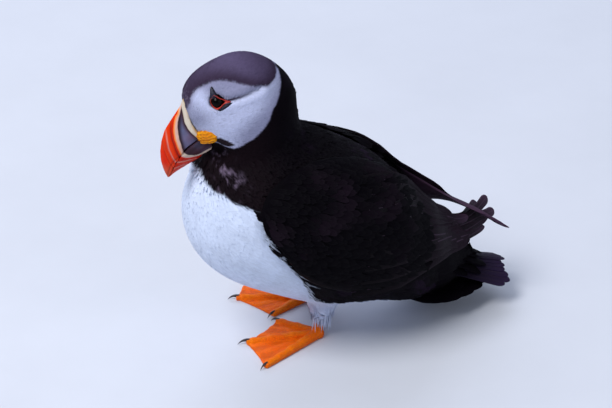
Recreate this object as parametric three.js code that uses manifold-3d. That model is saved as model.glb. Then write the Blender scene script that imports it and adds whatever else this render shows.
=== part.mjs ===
// Atlantic puffin, standing with its head bent to look down: a still, life-size model.
// Millimetres, +Z up. The bird faces -Y, its left side is +X, and its feet stand on z = 0.
import * as THREE from "three";
import { mergeVertices } from "three/addons/utils/BufferGeometryUtils.js";
import Module from "manifold-3d";

const wasm = await Module();
wasm.setup();

// ---------------------------------------------------------------- driving dimensions
const GAP = 0.3; // clear space between two pieces that touch
const DEGREE = Math.PI / 180;

// Head frame: its origin is at the feathered base of the culmen, -Y points forward along
// the skull and +Z up. Places in it are given as forward, side and up.
const HEAD = {
  place: [0, -75, 166.5],
  pitch: 45, // the skull looks down by this much
  yaw: -5, // and a little to the bird's right
};

// Side view of the bill in the head frame, as [forward, up], from its base to its tip.
const BILL = {
  culmen: [[-6, -3], [0, -0.6], [7, -3.6], [18.4, -5.2], [27.9, -10.1], [34.8, -16.5],
    [38.9, -23.2], [40.6, -27.4]],
  keel: [[0, -30], [8.1, -33.4], [14.1, -34.9], [20, -33.8], [26, -31.8], [32, -29.8],
    [37, -28.4], [40, -28]],
  gape: [[-6, -24], [6, -23.5], [11.9, -22.1], [17.5, -21], [22.4, -21], [29.3, -22.6],
    [35.5, -25.2], [43, -29.4]],
  halfWidth: 8.4,
};
const EYE = {
  forward: -13.3,
  side: 14.6,
  up: -9.9,
  radius: 4.2,
  sunk: 2.9, // depth of its centre under the skin
  ringRadius: 3.4,
  ringTube: 0.75,
};
// The fold of yellow skin at each corner of the mouth.
const ROSETTE = { forward: 4.2, side: 12, up: -23, tilt: 24, size: [3.2, 4.6, 6] };

// How widely the masses of the body and of the head flow into each other.
const BODY_BLEND = 22;
const NAPE_BLEND = 7;
const HEAD_BLEND = 9;

// Folded wings. Each edge runs from the wrist along the body to the tip of the primaries.
// The left wing crosses under the right one above the rump.
const WING = {
  rows: 22,
  columns: 8,
  cover: 4, // how far the folded arm stands out beyond its edges
  edge: 1.9, // how far its outer face is from the body along the edges
  lining: 0.8, // how far its inner face is from the body
  blade: 1.7, // thickness of the free primaries
  leaves: [0.42, 0.74], // where along its length the wing parts from the body
  tipRound: 9,
  wristRound: 5,
};
const LEFT_WING = {
  upper: [[36, -45, 104], [29, -34, 117], [25, -12, 124], [19, 18, 120], [13, 45, 105], [11, 63, 82],
    [8, 80, 67], [1, 99, 56], [-17, 125, 54]],
  lower: [[42, -38, 88], [47, -22, 62], [48, 0, 46], [43, 28, 42], [34, 51, 46], [27, 66, 48],
    [19, 82, 48.5], [11, 99, 46.5], [-7, 124, 43]],
  bulge: 6,
};
const RIGHT_WING = {
  upper: [[-36, -45, 104], [-29, -34, 117], [-25, -12, 124], [-18, 18, 122], [-13, 45, 111],
    [-13, 62, 92], [-11, 80, 76], [-2, 99, 63], [10, 125, 47]],
  lower: [[-42, -38, 88], [-47, -22, 62], [-48, 0, 46], [-43, 28, 42], [-36, 51, 50],
    [-31, 68, 56], [-22, 84, 60], [-9, 103, 58], [8, 127, 46]],
  bulge: 3,
};

const TAIL = {
  root: [0, 80, 35],
  pitch: -15,
  length: 50,
  rounding: 0.2,
  halfWidth: 25,
  rootHalfWidth: 11,
  feathers: 14,
  arch: 7,
  thickness: 1.6,
  scallop: 3,
};

// Legs. Toe angles turn outwards from straight ahead of the foot.
const LEGS = [
  { side: "left", hand: 1, heel: [11, 2], turn: -11 },
  { side: "right", hand: -1, heel: [-31, 12], turn: 21 },
];
const TOES = [
  { name: "inner", length: 29, angle: -43, claw: 5.5 },
  { name: "middle", length: 43, angle: 0, claw: 7 },
  { name: "outer", length: 46, angle: 37, claw: 5.5 },
];
const FOOT = { heelRadius: 3.1, tipRadius: 1.9, height: 2.2, web: 1.2, webNotch: 2, clawRadius: 1.35 };
const TARSUS = { radii: [2.9, 2.5], lean: 0.82 };
const THIGH = { radii: [15, 6.5], top: 44, bottom: 14.5, behind: 6 };

const COLOURS = {
  white: 0xe6eaf2,
  black: 0x1a1420,
  face: 0xd6d6e4,
  bill: 0xe8431a,
  rosette: 0xf0b81c,
  eye: 0x120d10,
  ring: 0xd8431f,
  leg: 0xf08a1e,
  claw: 0x221c20,
};

// ---------------------------------------------------------------- solids
const vector = (values) => new THREE.Vector3(...values);

function bareGeometry(geometry) {
  const bare = geometry.clone();
  bare.deleteAttribute("normal");
  bare.deleteAttribute("uv");
  return mergeVertices(bare, 1e-4);
}

function toSolid(geometry) {
  const merged = bareGeometry(geometry);
  const vertProperties = new Float32Array(merged.attributes.position.array);
  const triVerts = new Uint32Array(merged.index.array);
  return new wasm.Manifold(new wasm.Mesh({ numProp: 3, vertProperties, triVerts }));
}

function toGeometry(solid) {
  const mesh = solid.getMesh();
  const geometry = new THREE.BufferGeometry();
  geometry.setAttribute("position", new THREE.BufferAttribute(mesh.vertProperties, 3));
  geometry.setIndex(new THREE.BufferAttribute(mesh.triVerts, 1));
  return geometry;
}

// Everything on the far side of a plane, as one large box.
function beyond(point, normal) {
  const reach = 400;
  const box = new THREE.BoxGeometry(reach, reach, reach);
  box.translate(0, 0, reach / 2);
  const turn = new THREE.Quaternion().setFromUnitVectors(
    new THREE.Vector3(0, 0, 1), vector(normal).normalize(),
  );
  box.applyQuaternion(turn);
  return toSolid(box.translate(...point));
}

function shifted(point, normal, distance) {
  return vector(point).addScaledVector(vector(normal).normalize(), distance).toArray();
}

// ---------------------------------------------------------------- the field of the body
// Each mass is a function of a point that is negative inside it, in millimetres.
function smoothMin(a, b, blend) {
  const overlap = Math.max(blend - Math.abs(a - b), 0) / blend;
  return Math.min(a, b) - overlap * overlap * blend / 4;
}

function ellipsoid({ at, radii, pitch = 0 }) {
  const turn = new THREE.Matrix4().makeRotationX(-pitch * DEGREE);
  const radius = vector(radii);
  return (point) => {
    const local = point.clone().sub(vector(at)).applyMatrix4(turn);
    const scaled = local.clone().divide(radius);
    const steep = scaled.clone().divide(radius).length();
    const far = scaled.length();
    return steep > 0 ? far * (far - 1) / steep : -Math.min(...radii);
  };
}

function taper({ from, to, radii }) {
  const axis = new THREE.Line3(vector(from), vector(to));
  return (point) => {
    const along = axis.closestPointToPointParameter(point, true);
    const nearest = axis.at(along, new THREE.Vector3());
    return nearest.distanceTo(point) - THREE.MathUtils.lerp(...radii, along);
  };
}

const headMatrix = new THREE.Matrix4()
  .makeRotationFromEuler(new THREE.Euler(HEAD.pitch * DEGREE, 0, HEAD.yaw * DEGREE, "ZYX"))
  .setPosition(...HEAD.place);
const headInverse = headMatrix.clone().invert();

// A place in the head frame from its distances forward, to the side and up.
const inHead = (forward, side, up) => [side, -forward, up];
const headPoint = (forward, side, up) => (
  vector(inHead(forward, side, up)).applyMatrix4(headMatrix).toArray()
);

const headMasses = [
  ellipsoid({ at: inHead(-18.8, 0, -21.6), radii: [20.5, 26, 22] }), // skull
  ellipsoid({ at: inHead(-10, 0, -14), radii: [13.5, 17, 17.5] }), // brow and lores
  ellipsoid({ at: inHead(-2, 0, -27), radii: [9, 13, 12] }), // chin
];
const cheek = ellipsoid({ at: inHead(-15, 8, -28), radii: [13, 20, 15] });

const bodyMasses = [
  ellipsoid({ at: [0, -30, 92], radii: [42, 46, 48], pitch: -20 }), // breast
  ellipsoid({ at: [0, 7, 73], radii: [46, 62, 50], pitch: -35 }), // belly and back
  ellipsoid({ at: [0, 48, 46], radii: [31, 40, 26], pitch: -38 }), // rump
  taper({ from: [0, 62, 37], to: [0, 102, 26], radii: [19, 6.5] }), // vent and tail root
];
const neckMass = taper({ from: [0, -34, 156], to: [0, -35, 112], radii: [26, 30] });

function headField(point) {
  const local = point.clone().applyMatrix4(headInverse);
  const mirrored = new THREE.Vector3(Math.abs(local.x), local.y, local.z);
  const skull = headMasses.map((mass) => mass(local));
  return [...skull, cheek(mirrored)].reduce((a, b) => smoothMin(a, b, HEAD_BLEND));
}

function bodyField(point) {
  const trunk = bodyMasses.map((mass) => mass(point)).reduce((a, b) => smoothMin(a, b, BODY_BLEND));
  const neck = smoothMin(trunk, neckMass(point), NAPE_BLEND);
  return smoothMin(neck, headField(point), HEAD_BLEND);
}

// Shrinks a sphere onto the field from outside a centre, and leaves `clearance` to it.
function wrap({ centre, detail, stretch = [1, 1, 1], pitch = 0, reach = 200, clearance = 0 }) {
  const geometry = bareGeometry(new THREE.IcosahedronGeometry(1, detail));
  const turn = new THREE.Matrix4().makeRotationX(pitch * DEGREE);
  const position = geometry.attributes.position;
  const middle = vector(centre);
  for (let i = 0; i < position.count; i += 1) {
    const direction = new THREE.Vector3().fromBufferAttribute(position, i)
      .multiply(vector(stretch)).applyMatrix4(turn).normalize();
    const outside = (distance) => (
      bodyField(middle.clone().addScaledVector(direction, distance)) > clearance
    );
    let near = 0;
    let far = 4;
    while (!outside(far) && far < reach) {
      near = far;
      far += 4;
    }
    for (let step = 0; step < 12; step += 1) {
      const half = (near + far) / 2;
      if (outside(half)) far = half;
      else near = half;
    }
    position.setXYZ(i, ...middle.clone().addScaledVector(direction, Math.min(far, reach)).toArray());
  }
  return geometry;
}

// ---------------------------------------------------------------- flesh: trunk, neck, head
// A cut is a plane whose normal points to the upper piece.
const NECK_CUT = { at: [0, -22, 116], normal: [0, -0.25, 1] };
const NAPE_CUT = { at: [0, -36, 144], normal: [0, -0.87, 0.5] };
const THROAT_CUT = { at: [0, -36, 144], normal: [0, -0.25, 0.97] };

const above = ({ at, normal }) => beyond(shifted(at, normal, -GAP / 2), normal);

function below({ at, normal }) {
  const down = normal.map((value) => -value);
  return beyond(shifted(at, down, -GAP / 2), down);
}

function trunkSolid(clearance) {
  return toSolid(wrap({
    centre: [0, 6, 68], detail: 8, stretch: [1, 1.7, 1], pitch: -33, clearance,
  }));
}

function makeTrunk() {
  return trunkSolid(0).subtract(above(NECK_CUT));
}

function makeNeck() {
  const whole = toSolid(wrap({ centre: [0, -29, 134], detail: 6, reach: 62 }));
  return whole.subtract(below(NECK_CUT)).subtract(above(NAPE_CUT).intersect(above(THROAT_CUT)));
}

function headSolid(clearance) {
  return toSolid(wrap({ centre: headPoint(-20, 0, -22), detail: 6, reach: 60, clearance }));
}

function makeHead() {
  return headSolid(0).subtract(below(NAPE_CUT)).subtract(below(THROAT_CUT));
}

// ---------------------------------------------------------------- sheets: wings and tail
// A closed solid between two grids of points of the same size, given as rows[row][column].
function sheetSolid(outer, inner) {
  const rows = outer.length;
  const columns = outer[0].length;
  const points = [...outer.flat(), ...inner.flat()];
  const faces = [];
  const id = (layer, row, column) => (layer * rows + row) * columns + column;
  const quad = (a, b, c, d) => faces.push(a, b, c, a, c, d);
  for (let row = 0; row + 1 < rows; row += 1) {
    for (let column = 0; column + 1 < columns; column += 1) {
      const next = column + 1;
      quad(id(0, row, column), id(0, row + 1, column), id(0, row + 1, next), id(0, row, next));
      quad(id(1, row, column), id(1, row, next), id(1, row + 1, next), id(1, row + 1, column));
    }
    const side = columns - 1;
    quad(id(0, row, 0), id(1, row, 0), id(1, row + 1, 0), id(0, row + 1, 0));
    quad(id(0, row, side), id(0, row + 1, side), id(1, row + 1, side), id(1, row, side));
  }
  for (let column = 0; column + 1 < columns; column += 1) {
    const end = rows - 1;
    const next = column + 1;
    quad(id(0, 0, column), id(0, 0, next), id(1, 0, next), id(1, 0, column));
    quad(id(0, end, column), id(1, end, column), id(1, end, next), id(0, end, next));
  }
  const geometry = new THREE.BufferGeometry();
  const flat = points.flatMap((point) => point.toArray());
  geometry.setAttribute("position", new THREE.Float32BufferAttribute(flat, 3));
  geometry.setIndex(faces);
  const solid = toSolid(geometry);
  if (solid.volume() > 0) return solid;
  for (let i = 0; i < faces.length; i += 3) [faces[i], faces[i + 1]] = [faces[i + 1], faces[i]];
  geometry.setIndex(faces);
  return toSolid(geometry);
}

const curveThrough = (points) => new THREE.CatmullRomCurve3(points.map(vector), false, "centripetal");

function gradient(field, point) {
  const step = 0.5;
  const slope = ["x", "y", "z"].map((axis) => {
    const ahead = point.clone();
    ahead[axis] += step;
    return field(ahead) - field(point);
  });
  return vector(slope).normalize();
}

// Moves a point along the slope of the field until it lies at `distance` from the body.
function ontoBody(point, distance) {
  const moved = point.clone();
  for (let step = 0; step < 6; step += 1) {
    moved.addScaledVector(gradient(bodyField, moved), distance - bodyField(moved));
  }
  return moved;
}

function makeWing({ upper, lower, bulge }, hand) {
  const upperEdge = curveThrough(upper);
  const lowerEdge = curveThrough(lower);
  const outer = [];
  const inner = [];
  for (let row = 0; row <= WING.rows; row += 1) {
    const along = row / WING.rows;
    const free = THREE.MathUtils.smoothstep(along, ...WING.leaves);
    const top = upperEdge.getPoint(along);
    const bottom = lowerEdge.getPoint(along);
    const flow = upperEdge.getTangent(along);
    const tip = THREE.MathUtils.smoothstep(along, 0.8, 1);
    const wrist = 1 - THREE.MathUtils.smoothstep(along, 0, 0.15);
    const outwards = bottom.clone().sub(top).cross(flow).normalize().multiplyScalar(-hand);
    const outerRow = [];
    const innerRow = [];
    for (let column = 0; column <= WING.columns; column += 1) {
      const across = column / WING.columns;
      const crown = Math.sqrt(Math.sin(Math.PI * Math.min(Math.max(across, 0.001), 0.999)));
      const chord = top.clone().lerp(bottom, across)
        .addScaledVector(flow, wrist * WING.wristRound * (2 * across - 1) ** 2);
      const blade = chord.clone()
        .addScaledVector(outwards, bulge * (1 - along) * crown * crown)
        .addScaledVector(flow, -tip * WING.tipRound * (2 * across - 1) ** 2);
      const rise = WING.edge + WING.cover * crown * Math.min(1, along * 7);
      const parted = ontoBody(chord, rise).lerp(blade, free);
      const clear = WING.edge + 1.6 * crown;
      const place = bodyField(parted) < clear ? ontoBody(parted, clear) : parted;
      const thin = WING.blade * (0.45 + 0.55 * crown);
      const room = bodyField(place) - WING.lining;
      const depth = Math.min(THREE.MathUtils.lerp(rise - WING.lining, thin, free), room);
      const inwards = gradient(bodyField, place).lerp(outwards, free).normalize();
      outerRow.push(place);
      innerRow.push(place.clone().addScaledVector(inwards, -depth));
    }
    outer.push(outerRow);
    inner.push(innerRow);
  }
  return sheetSolid(outer, inner);
}

function makeTail() {
  const columns = TAIL.feathers * 2;
  const rows = 3;
  const grid = (drop) => Array.from({ length: rows + 1 }, (_, row) => (
    Array.from({ length: columns + 1 }, (_, column) => {
      const along = row / rows;
      const side = 2 * column / columns - 1;
      const notch = column % 2 ? 0 : TAIL.scallop * along;
      const reach = TAIL.length * (1 - TAIL.rounding * side * side) * along - notch;
      const width = THREE.MathUtils.lerp(TAIL.rootHalfWidth, TAIL.halfWidth, along);
      const slope = TAIL.pitch * DEGREE;
      const place = new THREE.Vector3(width * side, reach, -TAIL.arch * side * side - drop);
      return place.applyAxisAngle(new THREE.Vector3(1, 0, 0), slope).add(vector(TAIL.root));
    })
  ));
  return sheetSolid(grid(0), grid(TAIL.thickness));
}

// ---------------------------------------------------------------- bill, eyes and rosettes
const sideCurve = (points) => new THREE.CatmullRomCurve3(
  points.map(([forward, up]) => vector(inHead(forward, 0, up))),
);

// The whole bill as one wedge, deep and narrow, with a rounded ridge above and a keel below.
function wholeBill() {
  const culmen = sideCurve(BILL.culmen);
  const keel = sideCurve(BILL.keel);
  const rows = 11;
  const columns = 8;
  const side = (hand) => Array.from({ length: rows + 1 }, (_, row) => (
    Array.from({ length: columns + 1 }, (_, column) => {
      const along = row / rows;
      const across = column / columns;
      const swell = Math.sin(Math.PI * Math.min(Math.max(across, 0.004), 0.996)) ** 0.75;
      const width = BILL.halfWidth * (1 - along ** 1.5) ** 0.9 + 0.5;
      const place = culmen.getPoint(along).lerp(keel.getPoint(along), across);
      return place.add(new THREE.Vector3(hand * width * swell, 0, 0));
    })
  ));
  return sheetSolid(side(1), side(-1));
}

// The space under the line of the gape, lowered by half the gap between the two jaws.
function underGape(lowered) {
  const outline = BILL.gape.map(([forward, up]) => new THREE.Vector2(forward, up - lowered));
  const shape = new THREE.Shape();
  shape.moveTo(-30, -60);
  shape.lineTo(-30, BILL.gape[0][1] - lowered);
  shape.lineTo(outline[0].x, outline[0].y);
  shape.splineThru(outline.slice(1));
  shape.lineTo(60, -60);
  shape.closePath();
  const depth = 60;
  const block = new THREE.ExtrudeGeometry(shape, { depth, bevelEnabled: false, curveSegments: 8 });
  block.translate(0, 0, -depth / 2);
  const toHeadFrame = new THREE.Matrix4().set(0, 0, -1, 0, -1, 0, 0, 0, 0, 1, 0, 0, 0, 0, 0, 1);
  return toSolid(block.applyMatrix4(toHeadFrame));
}

const inWorld = (solid) => toSolid(toGeometry(solid).applyMatrix4(headMatrix));

function makeBill() {
  const bill = wholeBill();
  return {
    upper: inWorld(bill.subtract(underGape(-GAP / 2))),
    lower: inWorld(bill.intersect(underGape(GAP / 2))),
  };
}

// A group of pieces round one eye: +Z of its own frame looks out of the head.
function eyeFrame(hand) {
  const surface = ontoBody(vector(headPoint(EYE.forward, hand * EYE.side, EYE.up)), 0);
  const outwards = gradient(headField, surface);
  const up = new THREE.Vector3(0, 0, 1).transformDirection(headMatrix);
  const forward = up.clone().cross(outwards).normalize();
  const level = outwards.clone().cross(forward);
  return new THREE.Matrix4().makeBasis(forward, level, outwards).setPosition(surface);
}

const inFrame = (geometry, matrix) => toSolid(geometry.clone().applyMatrix4(matrix));

function eyeball(radius) {
  return new THREE.IcosahedronGeometry(radius, 2).translate(0, 0, -EYE.sunk);
}

function eyeRing(tube) {
  return new THREE.TorusGeometry(EYE.ringRadius, tube, 5, 14);
}

function rosette(hand, extra) {
  const size = ROSETTE.size.map((value) => value + extra);
  const fold = new THREE.IcosahedronGeometry(1, 2).scale(...size);
  fold.rotateX(ROSETTE.tilt * DEGREE);
  fold.translate(...inHead(ROSETTE.forward, hand * ROSETTE.side, ROSETTE.up));
  return toSolid(fold.applyMatrix4(headMatrix));
}

// ---------------------------------------------------------------- legs
const turned = (x, y, angle) => new THREE.Vector2(x, y).rotateAround(new THREE.Vector2(), angle);

function toeDirection(leg, toe) {
  const angle = (leg.turn + toe.angle) * leg.hand * DEGREE;
  return turned(0, -1, angle);
}

function toePoint(leg, toe, distance) {
  return toeDirection(leg, toe).multiplyScalar(distance).add(new THREE.Vector2(...leg.heel));
}

// A rounded rod between two points, thinner at the far end.
function rod(from, to, radii, sides = 10) {
  const start = vector(from);
  const end = vector(to);
  const body = new THREE.CylinderGeometry(radii[1], radii[0], start.distanceTo(end), sides, 1);
  const turn = new THREE.Quaternion().setFromUnitVectors(
    new THREE.Vector3(0, 1, 0), end.clone().sub(start).normalize(),
  );
  return toSolid(body.applyQuaternion(turn).translate(...start.add(end).multiplyScalar(0.5).toArray()));
}

const ball = (at, radius, size = [1, 1, 1]) => (
  toSolid(new THREE.IcosahedronGeometry(radius, 1).scale(...size).translate(...at))
);

function makeFoot(leg) {
  const tips = TOES.map((toe) => toePoint(leg, toe, toe.length));
  const heel = new THREE.Vector2(...leg.heel);
  const shape = new THREE.Shape();
  shape.moveTo(...heel.toArray());
  shape.lineTo(...tips[0].toArray());
  for (let i = 0; i + 1 < tips.length; i += 1) {
    const middle = tips[i].clone().add(tips[i + 1]).multiplyScalar(0.5);
    const inwards = heel.clone().sub(middle).normalize().multiplyScalar(FOOT.webNotch);
    shape.quadraticCurveTo(...middle.add(inwards).toArray(), ...tips[i + 1].toArray());
  }
  shape.closePath();
  const web = new THREE.ExtrudeGeometry(shape, { depth: FOOT.web, bevelEnabled: false, curveSegments: 6 });
  let foot = toSolid(web).add(ball([...leg.heel, FOOT.height], FOOT.heelRadius + 0.6));
  TOES.forEach((toe, index) => {
    const tip = [tips[index].x, tips[index].y, FOOT.height * 0.55];
    foot = foot.add(rod([...leg.heel, FOOT.height], tip, [FOOT.heelRadius, FOOT.tipRadius]));
  });
  return foot.subtract(beyond([0, 0, 0], [0, 0, -1]));
}

// A claw curves down from the end of its toe, and ends in a point just off the floor.
function makeClaw(leg, toe) {
  const start = toePoint(leg, toe, toe.length + GAP + 0.3);
  const direction = toeDirection(leg, toe);
  const claw = new THREE.ConeGeometry(FOOT.clawRadius, toe.claw, 6, 3);
  claw.rotateX(Math.PI / 2).translate(0, 0, toe.claw / 2);
  const position = claw.attributes.position;
  for (let i = 0; i < position.count; i += 1) {
    const along = position.getZ(i) / toe.claw;
    position.setY(i, position.getY(i) + 0.8 * Math.sin(Math.PI * along) - 0.9 * along * along);
  }
  const frame = new THREE.Matrix4().makeBasis(
    new THREE.Vector3(-direction.y, direction.x, 0),
    new THREE.Vector3(0, 0, 1),
    new THREE.Vector3(direction.x, direction.y, 0),
  );
  frame.setPosition(start.x, start.y, FOOT.clawRadius + 0.1);
  return inFrame(claw, frame);
}

const ankle = ({ heel: [x, y], hand }) => [x * TARSUS.lean + hand, y + 1];

function makeTarsus(leg, foot) {
  const top = [...ankle(leg), THIGH.bottom - GAP];
  const shank = rod([...leg.heel, FOOT.height], top, TARSUS.radii, 10);
  return shank.subtract(foot.add(beyond(top, [0, 0, 1])));
}

function makeThigh(leg, body) {
  const [x, y] = ankle(leg);
  const hip = [x * 0.85, y + THIGH.behind, THIGH.top];
  return rod(hip, [x, y, THIGH.bottom - 4], THIGH.radii, 14)
    .subtract(beyond([0, 0, THIGH.bottom], [0, 0, -1]))
    .subtract(body);
}

// ---------------------------------------------------------------- the model
const puffin = new THREE.Group();

function add(name, solid, colour, roughness = 0.8) {
  const geometry = solid.isBufferGeometry ? solid : toGeometry(solid);
  const material = new THREE.MeshStandardMaterial({ color: colour, roughness, metalness: 0 });
  const mesh = new THREE.Mesh(geometry, material);
  mesh.name = name;
  puffin.add(mesh);
}

const body = trunkSolid(GAP);
const face = headSolid(GAP);
const bill = makeBill();
let head = makeHead();
let upperJaw = bill.upper.subtract(face);
let lowerJaw = bill.lower.subtract(face);

for (const { side, hand } of LEGS) {
  const frame = eyeFrame(hand);
  const socket = inFrame(eyeball(EYE.radius + GAP), frame);
  add(`eye_${side}`, inFrame(eyeball(EYE.radius), frame), COLOURS.eye, 0.1);
  add(`eye_ring_${side}`, inFrame(eyeRing(EYE.ringTube), frame).subtract(socket), COLOURS.ring, 0.5);
  head = head.subtract(socket).subtract(inFrame(eyeRing(EYE.ringTube + GAP), frame));
  const fold = rosette(hand, GAP);
  add(`rosette_${side}`, rosette(hand, 0).subtract(face), COLOURS.rosette, 0.6);
  upperJaw = upperJaw.subtract(fold);
  lowerJaw = lowerJaw.subtract(fold);
}
add("bill_upper", upperJaw, COLOURS.bill, 0.35);
add("bill_lower", lowerJaw, COLOURS.bill, 0.35);
add("head", head, COLOURS.face);
add("neck", makeNeck(), COLOURS.black);
add("trunk", makeTrunk(), COLOURS.white);
add("wing_left", makeWing(LEFT_WING, 1), COLOURS.black);
add("wing_right", makeWing(RIGHT_WING, -1), COLOURS.black);
add("tail", makeTail().subtract(body), COLOURS.black);
for (const leg of LEGS) {
  const foot = makeFoot(leg);
  add(`leg_${leg.side}`, makeThigh(leg, body), COLOURS.white);
  add(`tarsus_${leg.side}`, makeTarsus(leg, foot), COLOURS.leg, 0.5);
  add(`foot_${leg.side}`, foot, COLOURS.leg, 0.5);
  for (const toe of TOES) {
    add(`claw_${leg.side}_${toe.name}`, makeClaw(leg, toe), COLOURS.claw, 0.4);
  }
}

// The origin is on the floor, under the middle of the bird's box.
const extent = new THREE.Box3().setFromObject(puffin);
const middle = extent.getCenter(new THREE.Vector3());
puffin.position.set(-middle.x, -middle.y, -extent.min.z);

export default puffin;
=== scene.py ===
# Atlantic puffin: skin, plumage, bill, eyes and feet over the packed frame, with a plain stage.
import math

import bpy
import numpy as np
from mathutils import Matrix, Vector
from mathutils.bvhtree import BVHTree
from mathutils.kdtree import KDTree


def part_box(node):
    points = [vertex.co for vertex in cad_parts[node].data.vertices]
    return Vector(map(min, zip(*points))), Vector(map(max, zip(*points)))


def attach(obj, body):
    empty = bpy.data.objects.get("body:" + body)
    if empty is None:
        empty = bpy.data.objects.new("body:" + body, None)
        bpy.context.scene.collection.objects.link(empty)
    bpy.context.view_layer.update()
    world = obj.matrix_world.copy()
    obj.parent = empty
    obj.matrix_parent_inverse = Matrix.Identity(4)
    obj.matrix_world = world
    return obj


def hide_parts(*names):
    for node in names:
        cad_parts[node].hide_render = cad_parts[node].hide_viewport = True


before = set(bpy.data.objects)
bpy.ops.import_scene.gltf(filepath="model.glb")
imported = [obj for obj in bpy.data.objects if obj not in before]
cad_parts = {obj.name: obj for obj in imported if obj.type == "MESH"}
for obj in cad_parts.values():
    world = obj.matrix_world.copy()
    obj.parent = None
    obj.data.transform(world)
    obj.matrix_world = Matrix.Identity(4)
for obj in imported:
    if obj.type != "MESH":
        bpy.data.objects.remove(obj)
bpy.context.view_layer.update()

bl_info = {
    "name": "Standing puffin",
    "version": (1, 0, 0),
    "blender": (4, 5, 0),
    "location": "3D View > Sidebar > Puffin",
    "description": "Builds the skin, plumage, bill, eyes and feet of a life-size puffin on its frame",
    "category": "Object",
}

# ---------------------------------------------------------------- places on the bird
# Lengths are in millimetres in the bird's own frame: -Y is ahead, +X is its left side and the
# origin lies on the floor between its heels. Meshes are made in metres in the row's frame.
MM = 0.001
DEGREE = math.pi / 180
SEED = 20
TRUNK_FRONT = -76.0  # the breast's foremost point, in the bird's frame

trunk_low, trunk_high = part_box("trunk")
HEELS = np.array([(trunk_low.x + trunk_high.x) / 2, trunk_low.y - TRUNK_FRONT * MM, 0.0])

HEAD_PITCH = 45 * DEGREE
HEAD_YAW = -5 * DEGREE
HEAD_TURN = np.array(Matrix.Rotation(HEAD_YAW, 3, "Z") @ Matrix.Rotation(HEAD_PITCH, 3, "X"))
EYE_IN_HEAD = np.array([-13.24, 0.0, -9.76])  # midway between the eyes: forward, side, up

HANDS = {"left": 1, "right": -1}


def to_row(points):
    return np.asarray(points, float) * MM + HEELS


def from_row(points):
    return (np.asarray(points, float) - HEELS) / MM


def unit(vectors):
    vectors = np.asarray(vectors, float)
    return vectors / np.maximum(np.linalg.norm(vectors, axis=-1, keepdims=True), 1e-9)


def node_centre(name):
    low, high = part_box(name)
    return from_row((low + high) / 2)


def head_axes(forward_side_up):
    """Head-frame distances forward, to the side and up, as a vector in the bird's frame."""
    forward, side, up = np.moveaxis(np.asarray(forward_side_up, float), -1, 0)
    return np.stack([side, -forward, up], -1) @ HEAD_TURN.T


HEAD_PLACE = (node_centre("eye_left") + node_centre("eye_right")) / 2 - head_axes(EYE_IN_HEAD)


def from_head(forward_side_up):
    return head_axes(forward_side_up) + HEAD_PLACE


def in_head(points):
    """Forward, side and up of points of the bird's frame, from the base of the culmen."""
    local = (np.asarray(points, float) - HEAD_PLACE) @ HEAD_TURN
    return np.stack([-local[..., 1], local[..., 0], local[..., 2]], -1)


# ---------------------------------------------------------------- outlines of the markings
# Side views of the head, as forward and up. The two sides are alike.
CAP_EDGE = [(3, -4.5), (-1.5, -2.1), (-4.5, -0.2), (-7.5, 0.7), (-10.9, 1), (-14.1, 0.4), (-18.5, -1.1),
            (-22.9, -3.9), (-26.4, -7.6), (-29.1, -11.9), (-31.3, -15.6), (-33.8, -19.4),
            (-36, -22.2), (-37.7, -24.7), (-39.4, -26), (-42, -27.7), (-44.4, -28.7), (-47.5, -28.6)]
FACE_REAR = [(-47.5, -29.8), (-45.1, -31.5), (-43, -32.8), (-40, -33.9), (-36.3, -34.7), (-32, -35.1),
             (-27.5, -35.7), (-23.2, -37.7), (-19.5, -38.4), (-15.4, -38.4), (-9.7, -37.7),
             (-5.4, -36.6), (-1.2, -35.7), (1.7, -34.4), (3.9, -32.5), (6.6, -30.6)]
BILL_BASE = [(9.5, -26), (9.5, -18.7), (8.3, -13.8), (6.4, -9.9), (4.6, -6.9)]
RIM_REAR = [(-3, 3), (-0.9, -0.7), (0.6, -3.8), (3.1, -7.2), (5, -10.2), (7, -14), (8, -17), (8.5, -22)]
WEDGE = [(6.4, -24.6), (2.9, -24.1), (1.1, -25.7), (-0.3, -28.5), (-0.9, -31.3), (-1.2, -33.6), (2, -32.9),
         (5.2, -30.4), (8, -28)]
CREASE = [(-14.5, -11.2), (-16.8, -12), (-21.1, -14.4), (-24.9, -16.8), (-28.6, -18.8), (-31.8, -20.7),
          (-34.8, -22.6)]
# The edge of the white breast and belly in side view, as back (Y) and height (Z).
BREAST_EDGE = [(-100, 133), (-66.6, 130), (-66.8, 123), (-66.5, 118.4), (-64.6, 115.8), (-59.8, 114.1),
               (-56.5, 111.6), (-52, 110.2), (-45.3, 107), (-44.5, 103), (-43.9, 96.5), (-41, 90.5),
               (-36.2, 83.6), (-32.5, 76.3), (-25.1, 68), (-20.2, 59.1), (-15.4, 49), (-12, 40),
               (-4, 34), (8, 31), (30, 27), (56, 19), (84, 19), (112, 19)]


def smooth_line(points, steps=6):
    """More points on a Catmull-Rom curve through the given ones."""
    points = np.asarray(points, float)
    padded = np.vstack([2 * points[0] - points[1], points, 2 * points[-1] - points[-2]])
    t = np.arange(steps)[:, None] / steps
    line = []
    for a, b, c, d in zip(padded, padded[1:], padded[2:], padded[3:]):
        line.append(0.5 * (2 * b + (c - a) * t + (2 * a - 5 * b + 4 * c - d) * t ** 2
                           + (3 * b - a - 3 * c + d) * t ** 3))
    return np.vstack([*line, points[-1:]])


def distance_to(points, line):
    """Distance of each point to a line of points, and the number of the nearest stretch."""
    best = np.full(len(points), 1e9)
    which = np.zeros(len(points), int)
    for number, (a, b) in enumerate(zip(line, line[1:])):
        along = np.clip((points - a) @ (b - a) / max((b - a) @ (b - a), 1e-9), 0, 1)
        gap = np.linalg.norm(points - a - along[:, None] * (b - a), axis=1)
        nearer = gap < best
        best[nearer] = gap[nearer]
        which[nearer] = number
    return best, which


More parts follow.
